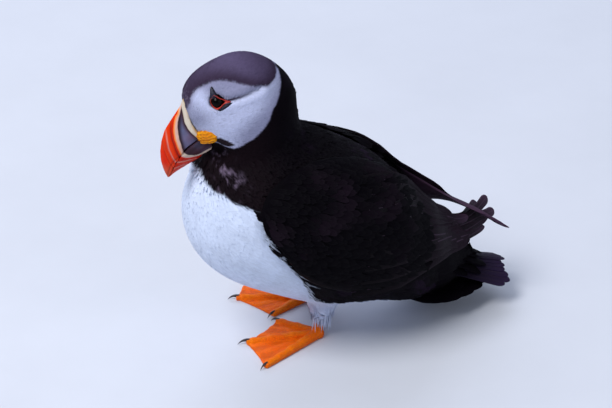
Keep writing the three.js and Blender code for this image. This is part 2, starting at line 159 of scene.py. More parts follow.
def inside(points, outline):
    """True for the points inside a closed outline in the plane."""
    odd = np.zeros(len(points), bool)
    x, y = points.T
    for (x1, y1), (x2, y2) in zip(outline, np.roll(outline, -1, axis=0)):
        crosses = (y1 > y) != (y2 > y)
        rise = y2 - y1 if abs(y2 - y1) > 1e-9 else 1e-9
        odd ^= crosses & (x < (x2 - x1) * (y - y1) / rise + x1)
    return odd


def depth_in(points, outline):
    """Distance to a closed outline, positive inside it."""
    gap, _ = distance_to(points, np.vstack([outline, outline[:1]]))
    return np.where(inside(points, outline), gap, -gap)


def beyond_line(points, line):
    """Distance to an open line in the plane, positive on its left."""
    gap, number = distance_to(points, line)
    start = line[number]
    run = line[number + 1] - start
    offset = points - start
    return gap * np.sign(run[:, 0] * offset[:, 1] - run[:, 1] * offset[:, 0])


def ramp(value, start, end):
    t = np.clip((np.asarray(value, float) - start) / (end - start), 0, 1)
    return t * t * (3 - 2 * t)


def blend(a, b, amount):
    return a + (b - a) * np.asarray(amount)[..., None]


def colour(red, green, blue):
    """A linear colour from values of 0 to 255 as a screen shows them."""
    values = np.array([red, green, blue]) / 255
    return np.where(values <= 0.04045, values / 12.92, ((values + 0.055) / 1.055) ** 2.4)


CAP_CURVE = smooth_line(CAP_EDGE)
FACE_OUTLINE = np.vstack([CAP_CURVE, smooth_line(FACE_REAR), smooth_line(BILL_BASE)])
CAP_OUTLINE = np.vstack([CAP_CURVE, [(-49.5, -28.6), (-62, -20), (-62, 25), (12, 25), (12, -4.5)]])
WEDGE_OUTLINE = np.array(WEDGE, float)
CREASE_CURVE = smooth_line(CREASE)
RIM_CURVE = smooth_line(RIM_REAR)
BREAST_CURVE = smooth_line(BREAST_EDGE)


def value_noise(points, size, seed=0):
    """Smooth noise between -1 and 1 with lumps of about the given size, in millimetres."""
    cell = np.asarray(points, float) / size
    base = np.floor(cell).astype(np.int64)
    t = cell - base
    t = t * t * (3 - 2 * t)
    total = np.zeros(len(cell))
    for corner in np.ndindex(2, 2, 2):
        spot = base + corner
        key = spot[:, 0] * 73856093 ^ spot[:, 1] * 19349663 ^ spot[:, 2] * 83492791 ^ seed * 2654435
        key = (key ^ (key >> 13)) * 1274126177 & 0x7FFFFFFF
        key = (key ^ (key >> 15)) & 0xFFFF
        weight = np.prod(np.where(corner, t, 1 - t), axis=1)
        total += weight * (key / 32767.5 - 1)
    return total


# The line down the left of the collar round which its feathers are worn.
FLECKED_FROM = np.array([12.0, -60.0, 137.0])
FLECKED_TO = np.array([22.0, -54.0, 119.0])


def plumage(points):
    """The colour of the plumage at points of the bird's frame."""
    shades = shades_of(bpy.context.scene.puffin_plumage)
    head = in_head(points)
    side_view = head[:, [0, 2]]
    wobble = value_noise(points, 2.2, 3) * 0.35
    on_head = ramp(np.linalg.norm(head - (-19, 0, -22), axis=1), 46, 40)

    # Back, neck and collar are black, the breast and belly white.
    below = -beyond_line(points[:, 1:], BREAST_CURVE) + value_noise(points, 5, 5) * 0.8
    white = ramp(below, -0.6, 0.6)
    black = blend(shades["neck"], shades["back"], ramp(points[:, 1], -30, 10))
    throat = ramp(points[:, 1], -22, -44) * ramp(points[:, 2], 104, 112)
    black = blend(black, shades["collar"], throat * 0.85)
    # Painted sheen: lighter violet-brown patches over the front of the back stand in for the gloss of its
    # black feathers.
    patches = value_noise(points, 9, 41) + 0.6 * value_noise(points, 3, 42)
    painted_sheen = ramp(patches, 0.05, 1.0) * ramp(points[:, 1], -30, 5)
    black = blend(black, shades["gloss"], 0.55 * painted_sheen)
    middle = blend(FLECKED_FROM, FLECKED_TO, ramp(points[:, 2], FLECKED_FROM[2], FLECKED_TO[2]))
    on_left = points * np.where(points[:, :1] < 0, [[-1, 1, 1]], 1)
    worn = ramp(np.linalg.norm(on_left - middle, axis=1), 14, 4)
    fleck = value_noise(points, 1.5, 31) * 0.6 + value_noise(points, 4.5, 32) * 0.7
    black = blend(black, shades["speckle"], worn * ramp(fleck, 0.12, 0.85) * 0.8)
    # The white is painted a little darker toward the belly: painted shade low on the body.
    pale = blend(shades["breast"], shades["belly"], ramp(points[:, 2], 70, 30))
    tint = blend(black, pale, white)

    # Cap, face and the dark wedge behind the corner of the mouth.
    crease, _ = distance_to(side_view, CREASE_CURVE)
    above_crease = ramp(beyond_line(side_view, CREASE_CURVE[::-1]), -0.5, 1.5)
    behind_eye = ramp(head[:, 0], -8, -17)
    face = blend(shades["face"], shades["face_shade"], 0.8 * above_crease * behind_eye)
    # Painted shade low on the cheek, where it turns away from the light.
    face = blend(face, shades["face_shade"], 0.7 * ramp(head[:, 2], -23, -35) * ramp(head[:, 0], 8, -10))
    face = blend(face, shades["face_shade"], 0.55 * ramp(head[:, 0], -9, 1) * ramp(head[:, 2], -18, -10))
    face_depth = depth_in(side_view, FACE_OUTLINE) + wobble
    face = blend(face, shades["face_rim"], 0.55 * ramp(face_depth, 1.8, 0.2))
    near_eye = ramp(head[:, 0], -36, -20)
    # Painted shade along the crease behind the eye, deepest near the eye.
    face = blend(face, shades["crease"], ramp(crease, 1.1, 0.25) * (0.15 + 0.85 * near_eye))
    wedge = ramp(depth_in(side_view, WEDGE_OUTLINE) + wobble, -0.4, 0.5)
    face = blend(face, shades["wedge"], wedge)
    cap_depth = depth_in(side_view, CAP_OUTLINE)
    cap = blend(shades["cap"], shades["cap_edge"], 0.9 * ramp(cap_depth, 7, 0.5) * ramp(head[:, 0], 6, -6))
    cap = blend(cap, shades["cap_edge"], 0.5 * ramp(head[:, 0], -34, -47))
    flecks = value_noise(points, 0.9, 8) * ramp(head[:, 0], -12, 0)
    cap = blend(cap, shades["cap_fleck"], np.clip(flecks, 0, 1) * 0.5)
    midline = ramp(np.abs(head[:, 1]), 0.5, 4)
    face_here = ramp(face_depth, -0.35, 0.35) * np.where(head[:, 0] < -40, 0.35 + 0.65 * midline, 1)
    tint = blend(tint, face, face_here * on_head)
    cap_here = ramp(cap_depth + wobble, -0.3, 0.3) * on_head * (1 - face_here)
    return blend(tint, cap, cap_here)


# ---------------------------------------------------------------- meshes
def select_only(*objects):
    bpy.ops.object.select_all(action="DESELECT")
    for piece in objects:
        piece.hide_set(False)
        piece.select_set(True)
    bpy.context.view_layer.objects.active = objects[0]


def apply_modifier(piece, kind, **settings):
    select_only(piece)
    modifier = piece.modifiers.new(kind.title(), kind)
    for key, value in settings.items():
        setattr(modifier, key, value)
    bpy.ops.object.modifier_apply(modifier=modifier.name)


def coordinates(piece):
    """The vertices of a piece in the bird's frame."""
    flat = np.empty(len(piece.data.vertices) * 3)
    piece.data.vertices.foreach_get("co", flat)
    return from_row(flat.reshape(-1, 3))


def normals(piece):
    flat = np.empty(len(piece.data.vertices) * 3, np.float32)
    piece.data.vertex_normals.foreach_get("vector", flat)
    return flat.reshape(-1, 3).astype(float)


def place_vertices(piece, points):
    piece.data.vertices.foreach_set("co", to_row(points).astype(np.float32).ravel())
    piece.data.update()


def mesh_piece(name, points, faces, uvs=None):
    """A piece from points in the bird's frame and faces of one size."""
    mesh = bpy.data.meshes.new(name)
    faces = np.asarray(faces, np.int32)
    count, corners = faces.shape
    mesh.vertices.add(len(points))
    mesh.vertices.foreach_set("co", to_row(points).astype(np.float32).ravel())
    mesh.loops.add(count * corners)
    mesh.loops.foreach_set("vertex_index", faces.ravel())
    mesh.polygons.add(count)
    mesh.polygons.foreach_set("loop_start", np.arange(0, count * corners, corners, dtype=np.int32))
    mesh.update(calc_edges=True)
    mesh.polygons.foreach_set("use_smooth", np.ones(count, bool))
    for layer, values in (uvs or {}).items():
        mesh.uv_layers.new(name=layer)
        mesh.uv_layers[layer].data.foreach_set("uv", values[faces.ravel()].astype(np.float32).ravel())
    piece = bpy.data.objects.new(name, mesh)
    bpy.context.scene.collection.objects.link(piece)
    return piece


def paint(piece, tints, layer="tint"):
    """Stores one colour for each vertex."""
    attribute = piece.data.color_attributes.new(layer, "FLOAT_COLOR", "POINT")
    rgba = np.ones((len(tints), 4), np.float32)
    rgba[:, :3] = tints
    attribute.data.foreach_set("color", rgba.ravel())


def shades_of(settings):
    """The colours among a group of settings, by name."""
    values = {key: np.array(getattr(settings, key)) for key in settings.__annotations__}
    return {key: value for key, value in values.items() if value.ndim}


def finished(piece, material, slot, *replaced):
    """Gives a piece its material and its place on the body, and hides the nodes that it stands for."""
    piece.data.materials.clear()
    piece.data.materials.append(material)
    if replaced:
        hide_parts(*replaced)
    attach(piece, "root")


def bare_copy(node, swell=0.0):
    """A merged copy of a node, a little larger if asked, so that neighbours flow together."""
    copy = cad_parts[node].copy()
    copy.data = copy.data.copy()
    copy.name = "copy_of_" + node
    copy.parent = None
    for key in list(copy.keys()):
        del copy[key]
    bpy.context.scene.collection.objects.link(copy)
    copy.hide_render = False
    copy.hide_viewport = False
    select_only(copy)
    bpy.ops.object.mode_set(mode="EDIT")
    bpy.ops.mesh.select_all(action="SELECT")
    bpy.ops.mesh.remove_doubles(threshold=0.00001)
    bpy.ops.object.mode_set(mode="OBJECT")
    copy.data.materials.clear()
    if swell:
        apply_modifier(copy, "DISPLACE", strength=swell * MM, mid_level=0)
    return copy


def unwrap(piece, margin=0.002, turn_out=False):
    """Unwraps a piece into its one map, OFBake, and turns its faces outward if asked."""
    select_only(piece)
    bpy.ops.object.mode_set(mode="EDIT")
    bpy.ops.mesh.select_all(action="SELECT")
    if turn_out:
        bpy.ops.mesh.normals_make_consistent(inside=False)
    bpy.ops.uv.smart_project(angle_limit=66 * DEGREE, island_margin=margin)
    bpy.ops.object.mode_set(mode="OBJECT")
    layers = piece.data.uv_layers
    while len(layers) > 1:
        layers.remove(layers[1])
    layers[0].name = "OFBake"
    bpy.ops.object.shade_smooth()


def fused(name, copies, voxel, rounds):
    """Joins copies into one closed mesh of even faces, and smooths it."""
    select_only(*copies)
    bpy.ops.object.join()
    piece = bpy.context.view_layer.objects.active
    piece.name = name
    piece.data.name = name
    apply_modifier(piece, "REMESH", mode="VOXEL", voxel_size=voxel * MM, use_smooth_shade=True)
    apply_modifier(piece, "SMOOTH", factor=0.5, iterations=rounds)
    return piece


class Surface:
    """The triangles of a piece, for setting feathers on it."""

    def __init__(self, piece, uv_layer=None):
        mesh = piece.data
        mesh.calc_loop_triangles()
        count = len(mesh.loop_triangles)
        corners = np.empty(count * 3, np.int32)
        mesh.loop_triangles.foreach_get("vertices", corners)
        self.corners = corners.reshape(-1, 3)
        self.points = coordinates(piece)
        self.normals = normals(piece)
        self.tree = BVHTree.FromPolygons(self.points.tolist(), self.corners.tolist())
        self.uv = None
        if uv_layer:
            loops = np.empty(count * 3, np.int32)
            mesh.loop_triangles.foreach_get("loops", loops)
            flat = np.empty(len(mesh.loops) * 2, np.float32)
            mesh.uv_layers[uv_layer].data.foreach_get("uv", flat)
            self.uv = flat.reshape(-1, 2)[loops].reshape(-1, 3, 2).mean(axis=1)

    def areas(self):
        a, b, c = (self.points[self.corners[:, i]] for i in range(3))
        return np.linalg.norm(np.cross(b - a, c - a), axis=1) / 2

    def nearest(self, places):
        """The nearest points, smooth normals and triangle numbers."""
        found = [self.tree.find_nearest(place) for place in places.tolist()]
        spots = np.array([hit[0] for hit in found])
        triangle = np.array([hit[2] for hit in found])
        a, b, c = (self.points[self.corners[triangle, i]] for i in range(3))
        total = np.linalg.norm(np.cross(b - a, c - a), axis=1)
        toward_a = np.linalg.norm(np.cross(b - spots, c - spots), axis=1) / total
        toward_b = np.linalg.norm(np.cross(c - spots, a - spots), axis=1) / total
        shares = np.stack([toward_a, toward_b, np.clip(1 - toward_a - toward_b, 0, 1)], 1)
        smooth = (self.normals[self.corners[triangle]] * shares[:, :, None]).sum(axis=1)
        return spots, unit(smooth), triangle


def scatter(surface, spacing, rng, allowed=None):
    """Roots on a surface that keep `spacing` of each place apart, in no order."""
    centres = surface.points[surface.corners].mean(axis=1)
    gaps = spacing(centres)
    usable = np.isfinite(gaps)
    gaps = np.where(usable, gaps, 1)
    hopes = np.where(usable, surface.areas() * 3.2 / gaps ** 2, 0)
    triangle = np.repeat(np.arange(len(centres)), rng.poisson(hopes))
    rng.shuffle(triangle)
    first, second = rng.random((2, len(triangle)))
    folded = first + second > 1
    first = np.where(folded, 1 - first, first)
    second = np.where(folded, 1 - second, second)
    a, b, c = (surface.points[surface.corners[triangle, i]] for i in range(3))
    spots = a + (b - a) * first[:, None] + (c - a) * second[:, None]
    if allowed is not None:
        keep = allowed(spots)
        spots = spots[keep]
        triangle = triangle[keep]
    tree = KDTree(len(spots))
    for number, spot in enumerate(spots.tolist()):
        tree.insert(spot, number)
    tree.balance()
    taken = np.zeros(len(spots), bool)
    roots = []
    for number, spot in enumerate(spots.tolist()):
        if taken[number]:
            continue
        roots.append(number)
        for _, other, _ in tree.find_range(spot, gaps[triangle[number]]):
            taken[other] = True
    return spots[roots], triangle[roots]


# ---------------------------------------------------------------- feathers
BAKE_PATCH = 0.003  # side of a small feather's patch in its OFBake map
QUILL_STATIONS = 26  # rows of points along a long feather
SMALL_VANE = (np.array([0, 0.4, 0.75, 1]), np.array([0.55, 1, 0.9, 0.35]), np.array([-1, 0, 1]))
SOFT_VANE = (np.array([0, 0.35, 0.7, 1]), np.array([0.5, 1, 0.95, 0.5]), np.array([-1, -0.5, 0, 0.5, 1]))
ROUND_VANE = (np.array([0, 0.3, 0.6, 0.85, 1]), np.array([0.5, 0.9, 1, 0.82, 0.4]),
              np.array([-1, -0.5, 0, 0.5, 1]))
WISP = (np.array([0, 0.35, 0.7, 1]), np.array([1, 0.8, 0.5, 0.1]), np.array([-1, 1]))


def tangent(vectors, normal):
    return unit(vectors - normal * (vectors * normal).sum(axis=1, keepdims=True))


def turned(vectors, axis, angles):
    """Vectors turned about unit axes at right angles to them."""
    return vectors * np.cos(angles)[:, None] + np.cross(axis, vectors) * np.sin(angles)[:, None]


def vanes(name, surface, roots, triangle, lie, form, sizes, tint, rng, ragged=0.18, edge=0.0, unruly=0.16,
          uneven=0.1, crisp=None, soft=0.75, hang=False):
    """One joined mesh of feathers whose roots lie on a surface. `lie` gives their directions,
    `sizes` their length, half width, height of the tip and depth of the root, and `tint` their colours.
    Feathers that `crisp` marks take the plumage's colour at each corner, and `soft` is the share of the
    surface's own lie in the way they face the light. Feathers that `hang` don't follow the surface."""
    stations, widths, across = form
    count = len(roots)
    length, half, rise, sink = (np.broadcast_to(np.asarray(size, float), (count,)) for size in sizes)
    length = length * rng.uniform(0.85, 1.15, count)
    _, normal0, _ = surface.nearest(roots)
    along0 = turned(tangent(lie(roots), normal0), normal0, rng.normal(0, unruly, count))
    if hang:
        along0 = unit(lie(roots) + rng.normal(0, unruly, (count, 3)))
        middle, end = (roots + along0 * (length * share)[:, None] for share in (0.5, 1.0))
        normal2 = tangent(normal0, along0)
    else:
        middle, normal1, _ = surface.nearest(roots + along0 * (length / 2)[:, None])
        along1 = tangent(middle - roots, normal1)
        end, normal2, _ = surface.nearest(middle + along1 * (length / 2)[:, None])

    u = stations[None, :, None]
    spine = (roots[:, None] * (2 * u * u - 3 * u + 1) + middle[:, None] * (4 * u - 4 * u * u)
             + end[:, None] * (2 * u * u - u))
    normal = unit(normal0[:, None] * (1 - u) + normal2[:, None] * u)
    side = unit(np.cross(normal, unit(end - roots)[:, None]))
    lift = rise * rng.uniform(1 - uneven, 1 + uneven * 0.6, count)
    u = stations[None, :]
    height = -sink[:, None] + (lift + sink)[:, None] * (1.25 * u - 0.25 * u * u)
    spine = spine + normal * height[:, :, None]
    roll = rng.normal(0, 0.8 * uneven, count)

    v = across[None, None, :]
    reach = half[:, None, None] * widths[None, :, None] * v
    drop = -0.22 * np.abs(v) ** 2 * half[:, None, None] + reach * roll[:, None, None]
    points = spine[:, :, None] + side[:, :, None] * reach[..., None] + normal[:, :, None] * drop[..., None]
    fray = rng.uniform(-1, 1, (count, 1, len(across))) * ragged * (stations ** 3)[None, :, None]
    points += unit(end - middle)[:, None, None] * (fray * length[:, None, None])[..., None]

    rows, columns = len(stations), len(across)
    base = np.arange(count)[:, None] * rows * columns
    corner = np.array([row * columns + column for row in range(rows - 1) for column in range(columns - 1)])
    quad = corner[:, None] + np.array([0, columns, columns + 1, 1])
    faces = (base[:, :, None] + quad[None]).reshape(-1, 4)

    own = np.stack(np.broadcast_arrays(0.5 + 0.5 * v, stations[None, :, None]), -1)
    own = np.broadcast_to(own, (count, rows, columns, 2)).reshape(-1, 2)
    bake = surface.uv[triangle][:, None, None] + (own.reshape(count, rows, columns, 2) - 0.5) * BAKE_PATCH
    piece = mesh_piece(name, points.reshape(-1, 3), faces,
                       {"OFBake": np.clip(bake, 0, 1).reshape(-1, 2), "Vane": own})
    # Each feather is painted darker toward its root, painted shade where it lies under the feathers before
    # it; each also gets a little random tone of its own.
    shade = (0.88 + 0.14 * stations)[None, :, None] * rng.uniform(0.94, 1.05, count)[:, None, None]
    shade = np.broadcast_to(shade, (count, rows, columns))[..., None]
    lighter = edge * (np.abs(v) ** 3 * 0.5 + (stations ** 4)[None, :, None])
    tints = np.broadcast_to(tint(roots, spine[:, -1])[:, None, None], points.shape).copy()
    if crisp is not None and crisp[0].any():
        chosen, reach = crisp
        places = roots[chosen][:, None, None] * (1 - reach) + points[chosen] * reach
        tints[chosen] = plumage(places.reshape(-1, 3)).reshape(places.shape)
    facing = np.empty(points.size, np.float32)
    piece.data.vertex_normals.foreach_get("vector", facing)
    facing = facing.reshape(points.shape)
    facing = unit(facing * (1 - soft) + normal[:, :, None] * soft)
    piece.data.normals_split_custom_set_from_vertices(facing.reshape(-1, 3).tolist())
    paint(piece, np.clip(tints * shade + lighter[..., None], 0, 1).reshape(-1, 3))
    return piece


def quills(name, feathers, thickness):
    """One joined mesh of long feathers. Each has a spine, the way up at each station, half widths ahead
    of and behind its shaft, and a colour at its root and its tip, which comes in late where `late` is
    over 1. A `ridge` under 1 makes it flatter."""
    across = np.array([-1, -0.72, -0.42, -0.16, 0, 0.16, 0.42, 0.72, 1])
    shaft = np.array([0, 0, 0.02, 0.1, 0.3, 0.1, 0.02, 0, 0])
    all_points, all_faces, all_uv, all_tints = [], [], [], []
    rows, columns = QUILL_STATIONS, len(across)
    ring = 2 * columns - 2
    for number, feather in enumerate(feathers):
        t = 1 - (1 - np.linspace(0, 1, rows)) ** 1.6
        spine = resampled(feather["spine"], t)
        along = unit(np.gradient(spine, axis=0))
        up = unit(feather["up"])
        up = unit(up - along * (along * up).sum(axis=1, keepdims=True))
        side = np.cross(along, up)
        tip = feather.get("tip", 0.1)
        rounded = np.sqrt(np.clip(1 - ((t - 1 + tip) / tip).clip(0) ** 2, 0, 1))
        outline = np.maximum(np.minimum(1, 0.5 + 1.6 * t) * rounded, 0.04)
        wear = value_noise(np.stack([t * 40, t * 0 + number * 7, t * 0], 1), 1.6, 9)
        split = 1 - 0.07 * np.clip(wear, 0, 1)
        left, right = feather["half"]
        reach = np.where(across < 0, left, right)[None] * across * (outline * split)[:, None]
        widest = max(left, right)
        ridge = feather.get("ridge", 1)
        camber = -0.1 * (reach / widest) ** 2 * widest * ridge
        top = camber + shaft[None] * (1 - 0.7 * t)[:, None] * ridge
        under = camber - thickness * (1 - np.abs(across) ** 4)[None] * 0.8 - 0.02
        flat = spine[:, None] + side[:, None] * reach[..., None]
        upper, lower = (flat + up[:, None] * height[..., None] for height in (top, under))
        loop = np.concatenate([upper, lower[:, -2:0:-1]], axis=1)
        base = sum(len(points) for points in all_points)
        grid = base + np.arange(rows * ring).reshape(rows, ring)
        turn = np.roll(grid, -1, axis=1)
        all_faces.append(np.stack([grid[:-1], grid[1:], turn[1:], turn[:-1]], -1).reshape(-1, 4))
        for row in (0, rows - 1):
            ends = grid[row]
            strip = [(ends[i], ends[i + 1], ends[-i - 1], ends[-i]) for i in range(1, columns - 2)]
            strip.append((ends[0], ends[1], ends[-1], ends[0]))
            strip = [(a, b, c, d) for a, b, c, d in strip if d != a]
            all_faces.append(np.array(strip if row == 0 else [cell[::-1] for cell in strip]))
        all_points.append(loop.reshape(-1, 3))
        v = np.concatenate([across, across[-2:0:-1]])
        uv = np.stack(np.broadcast_arrays(0.5 + 0.5 * v[None], t[:, None]), -1)
        all_uv.append(uv.reshape(-1, 2))
        shade = blend(*feather["tints"], t ** feather.get("late", 1))
        paler = 1 + 0.5 * np.abs(v[None, :, None]) ** 4
        all_tints.append((shade[:, None] * paler).reshape(-1, 3))
    points = np.vstack(all_points)
    uv = np.vstack(all_uv)
    cell = np.repeat(np.arange(len(feathers)), rows * ring)
    cells = math.ceil(math.sqrt(len(feathers)))
    corner = np.stack([cell % cells, cell // cells], 1)
    bake = (corner + 0.05 + 0.9 * uv) / cells
    piece = mesh_piece(name, points, np.vstack(all_faces), {"OFBake": np.clip(bake, 0, 1), "Vane": uv})
    paint(piece, np.clip(np.vstack(all_tints), 0, 1))
    return piece


def resampled(line, t):
    """Points at even shares of the way along a line of points."""
    line = np.asarray(line, float)
    steps = np.concatenate([[0], np.cumsum(np.linalg.norm(np.diff(line, axis=0), axis=1))])
    return np.stack([np.interp(t * steps[-1], steps, line[:, axis]) for axis in range(3)], 1)


# ---------------------------------------------------------------- materials
class Graph:
    """Adds nodes to a material or a node group, and joins them."""

    def __init__(self, tree):
        self.tree = tree

    def add(self, kind, inputs=(), **settings):
        node = self.tree.nodes.new("ShaderNode" + kind)
        for key, value in settings.items():
            setattr(node, key, value)
        for key, value in dict(inputs).items():
            self.join(value, node.inputs[key])
        return node

    def join(self, value, socket):
        if isinstance(value, bpy.types.NodeSocket):
            self.tree.links.new(value, socket)
        elif value is not None:
            socket.default_value = value

    def sum(self, operation, *values):
        return self.add("Math", dict(enumerate(values)), operation=operation).outputs[0]

    def mix(self, amount, first, second, how="MIX"):
        node = self.add("Mix", data_type="RGBA", blend_type=how)
        self.join(amount, node.inputs[0])
        self.join(first, node.inputs[6])
        self.join(second, node.inputs[7])
        return node.outputs[2]

    def between(self, value, low, high, to_low=0.0, to_high=1.0):
        names = ("Value", "From Min", "From Max", "To Min", "To Max")
        return self.add("MapRange", dict(zip(names, (value, low, high, to_low, to_high)))).outputs[0]

    def rougher(self, value, low, high, roughness, more):
        """A roughness that gains up to `more` as the value goes from low to high."""
        return self.between(value, low, high, roughness, self.sum("ADD", roughness, more))

    def shaded(self, tint, shade):
        """A colour made darker or lighter by one number."""
        grey = self.add("CombineColor", {0: shade, 1: shade, 2: shade}).outputs[0]
        return self.mix(1.0, tint, grey, "MULTIPLY")

    def noise(self, where, scale, detail=3.0, roughness=0.5):
        inputs = {"Vector": where, "Scale": scale, "Detail": detail, "Roughness": roughness}
        return self.add("TexNoise", inputs).outputs[0]


FINISH = {"Color": "Color", "Roughness": "Float", "Height": "Float"}  # what every group gives


def group(name, inputs, build):
    """A shader node group, made once, with named inputs and the outputs that a finish needs."""
    if name in bpy.data.node_groups:
        return bpy.data.node_groups[name]
    tree = bpy.data.node_groups.new(name, "ShaderNodeTree")
    for label, (kind, default) in inputs.items():
        socket = tree.interface.new_socket(label, in_out="INPUT", socket_type="NodeSocket" + kind)
        if default is not None:
            socket.default_value = default
    for label, kind in FINISH.items():
        tree.interface.new_socket(label, in_out="OUTPUT", socket_type="NodeSocket" + kind)
    graph = Graph(tree)
    given = tree.nodes.new("NodeGroupInput")
    made = tree.nodes.new("NodeGroupOutput")
    for label, value in build(graph, given.outputs).items():
        graph.join(value, made.inputs[label])
    return tree


def barbs(graph, given):
    """Fine slanting barbs either side of a shaft, with soft uneven wear."""
    split = graph.add("SeparateXYZ", {"Vector": given["Vane"]})
    off_shaft = graph.sum("ABSOLUTE", graph.sum("SUBTRACT", split.outputs[0], 0.5))
    slant = graph.sum("MULTIPLY", off_shaft, -1.6)
    place = graph.sum("ADD", split.outputs[1], slant)
    waver = graph.noise(given["Object"], 900.0, 2.0)
    even = graph.sum("MULTIPLY", place, given["Barbs"])
    stripes = graph.sum("ADD", even, graph.sum("MULTIPLY", waver, 5.0))
    wave = graph.between(graph.sum("SINE", stripes), -1.0, 1.0)
    shaft = graph.between(off_shaft, 0.015, 0.05, 1.0, 0.0)
    worn = graph.noise(given["Object"], given["Wear Scale"], 4.0, 0.6)
    striped = graph.between(wave, 0.0, 1.0, 0.9, 1.06)
    shade = graph.sum("ADD", striped, graph.between(worn, 0.3, 0.7, -0.07, 0.07))
    tint = graph.shaded(given["Tint"], shade)
    tint = graph.mix(graph.sum("MULTIPLY", shaft, given["Shaft"]), tint, given["Shaft Tint"])
    rough = graph.rougher(worn, 0.25, 0.75, given["Roughness"], 0.16)
    height = graph.sum("ADD", graph.sum("MULTIPLY", wave, 0.6), shaft)
    return {"Color": tint, "Roughness": rough, "Height": height}


def mottle(graph, given):
    """Soft mottling and fine grain for skin."""
    broad = graph.noise(given["Object"], given["Scale"], 4.0, 0.6)
    fine = graph.noise(given["Object"], graph.sum("MULTIPLY", given["Scale"], 7.0), 3.0)
    tint = graph.mix(graph.between(broad, 0.35, 0.7), given["Tint"], given["Second Tint"])
    rough = graph.rougher(fine, 0.3, 0.7, given["Roughness"], 0.15)
    height = graph.sum("ADD", broad, graph.sum("MULTIPLY", fine, 0.5))
    return {"Color": tint, "Roughness": rough, "Height": height}


def horn(graph, given):
    """Growth lines, fine scratches and faint cloudiness of horn."""
    stretch = graph.add("VectorMath", {0: given["Grain"], 1: (260.0, 900.0, 260.0)}, operation="MULTIPLY")
    lines = graph.noise(stretch.outputs[0], 1.0, 3.0, 0.6)
    clouds = graph.noise(given["Object"], given["Scale"], 4.0, 0.55)
    chips = graph.between(graph.noise(given["Object"], 1500.0, 2.0), 0.66, 0.74)
    cloudy = graph.between(clouds, 0.35, 0.7, 0.0, given["Clouds"])
    tint = graph.mix(cloudy, given["Tint"], given["Cloud Tint"])
    tint = graph.shaded(tint, graph.between(lines, 0.3, 0.7, 0.88, 1.08))
    rough = graph.rougher(lines, 0.3, 0.7, given["Roughness"], 0.14)
    rough = graph.sum("ADD", rough, graph.sum("MULTIPLY", chips, 0.2))
    height = graph.sum("ADD", lines, graph.sum("MULTIPLY", clouds, 0.6))
    return {"Color": tint, "Roughness": rough, "Height": height}


def scales(graph, given):
    """Small scales with darker seams, stretched folds and worn patches."""
    inputs = {"Vector": given["Object"], "Scale": given["Scale"]}
    cells = graph.add("TexVoronoi", inputs, feature="DISTANCE_TO_EDGE").outputs[0]
    each = graph.add("TexVoronoi", inputs).outputs[1]
    seam = graph.between(cells, 0.0, 0.12, 1.0, 0.0)
    worn = graph.noise(given["Object"], 130.0, 4.0, 0.6)
    folds = graph.noise(given["Object"], 420.0, 3.0, 0.65)
    tint = graph.mix(graph.between(worn, 0.35, 0.7), given["Tint"], given["Second Tint"])
    tint = graph.mix(0.07, tint, each, "SOFT_LIGHT")
    tint = graph.mix(graph.sum("MULTIPLY", seam, 0.45), tint, given["Seam Tint"])
    rough = graph.rougher(folds, 0.3, 0.7, given["Roughness"], 0.18)
    height = graph.sum("SUBTRACT", graph.sum("MULTIPLY", folds, 1.2), seam)
    return {"Color": tint, "Roughness": rough, "Height": height}


GROUP_PLANS = {
    "Feather barbs": ({
        "Tint": ("Color", None), "Vane": ("Vector", None), "Object": ("Vector", None),
        "Barbs": ("Float", 90.0), "Wear Scale": ("Float", 60.0), "Shaft": ("Float", 0.3),
        "Shaft Tint": ("Color", None), "Roughness": ("Float", 0.6)}, barbs),
    "Mottled skin": ({
        "Tint": ("Color", None), "Second Tint": ("Color", None), "Object": ("Vector", None),
        "Scale": ("Float", 300.0), "Roughness": ("Float", 0.5)}, mottle),
    "Horn": ({
        "Tint": ("Color", None), "Cloud Tint": ("Color", None), "Clouds": ("Float", 0.3),
        "Grain": ("Vector", None), "Object": ("Vector", None), "Scale": ("Float", 120.0),
        "Roughness": ("Float", 0.3)}, horn),
    "Scaly skin": ({
        "Tint": ("Color", None), "Second Tint": ("Color", None), "Seam Tint": ("Color", None),
        "Object": ("Vector", None), "Scale": ("Float", 700.0), "Roughness": ("Float", 0.4)}, scales),
}


def finish_material(name, group_name, inputs, bump, coat=0.0, sheen=0.0, specular=0.5):
    """A material from one of the groups above, with the piece's own colours as its tint."""
    material = bpy.data.materials.new(name)
    material.use_nodes = True
    graph = Graph(material.node_tree)
    shader = material.node_tree.nodes["Principled BSDF"]
    effect = graph.add("Group")
    effect.node_tree = group(group_name, *GROUP_PLANS[group_name])
    given = {"Object": graph.add("TexCoord").outputs["Object"],
             "Tint": graph.add("Attribute", attribute_name="tint").outputs["Color"]}
    for label, value in {**given, **inputs}.items():
        if label in effect.inputs:
            if label == "Vane":
                value = graph.add("UVMap", uv_map="Vane").outputs[0]
            elif label == "Grain":
                value = graph.add("Attribute", attribute_name="grain").outputs["Vector"]
            graph.join(value, effect.inputs[label])
    bumped = graph.add("Bump", {"Height": effect.outputs["Height"], "Strength": bump, "Distance": 0.0004})
    graph.join(effect.outputs["Color"], shader.inputs["Base Color"])
    graph.join(effect.outputs["Roughness"], shader.inputs["Roughness"])
    graph.join(bumped.outputs[0], shader.inputs["Normal"])
    constants = {"Coat Weight": coat, "Coat Roughness": 0.2, "Sheen Weight": sheen, "Sheen Roughness": 0.45,
                 "Specular IOR Level": specular}
    for label, value in constants.items():
        shader.inputs[label].default_value = value
    return material


def rgba(values):
    return (*map(float, values), 1.0)


def plumage_material(name, barbs_across, shaft, shaft_tint, roughness, sheen, bump, specular):
    inputs = {"Vane": True, "Barbs": barbs_across, "Shaft": shaft, "Shaft Tint": rgba(shaft_tint),
              "Roughness": roughness}
    return finish_material(name, "Feather barbs", inputs, bump, sheen=sheen, specular=specular)


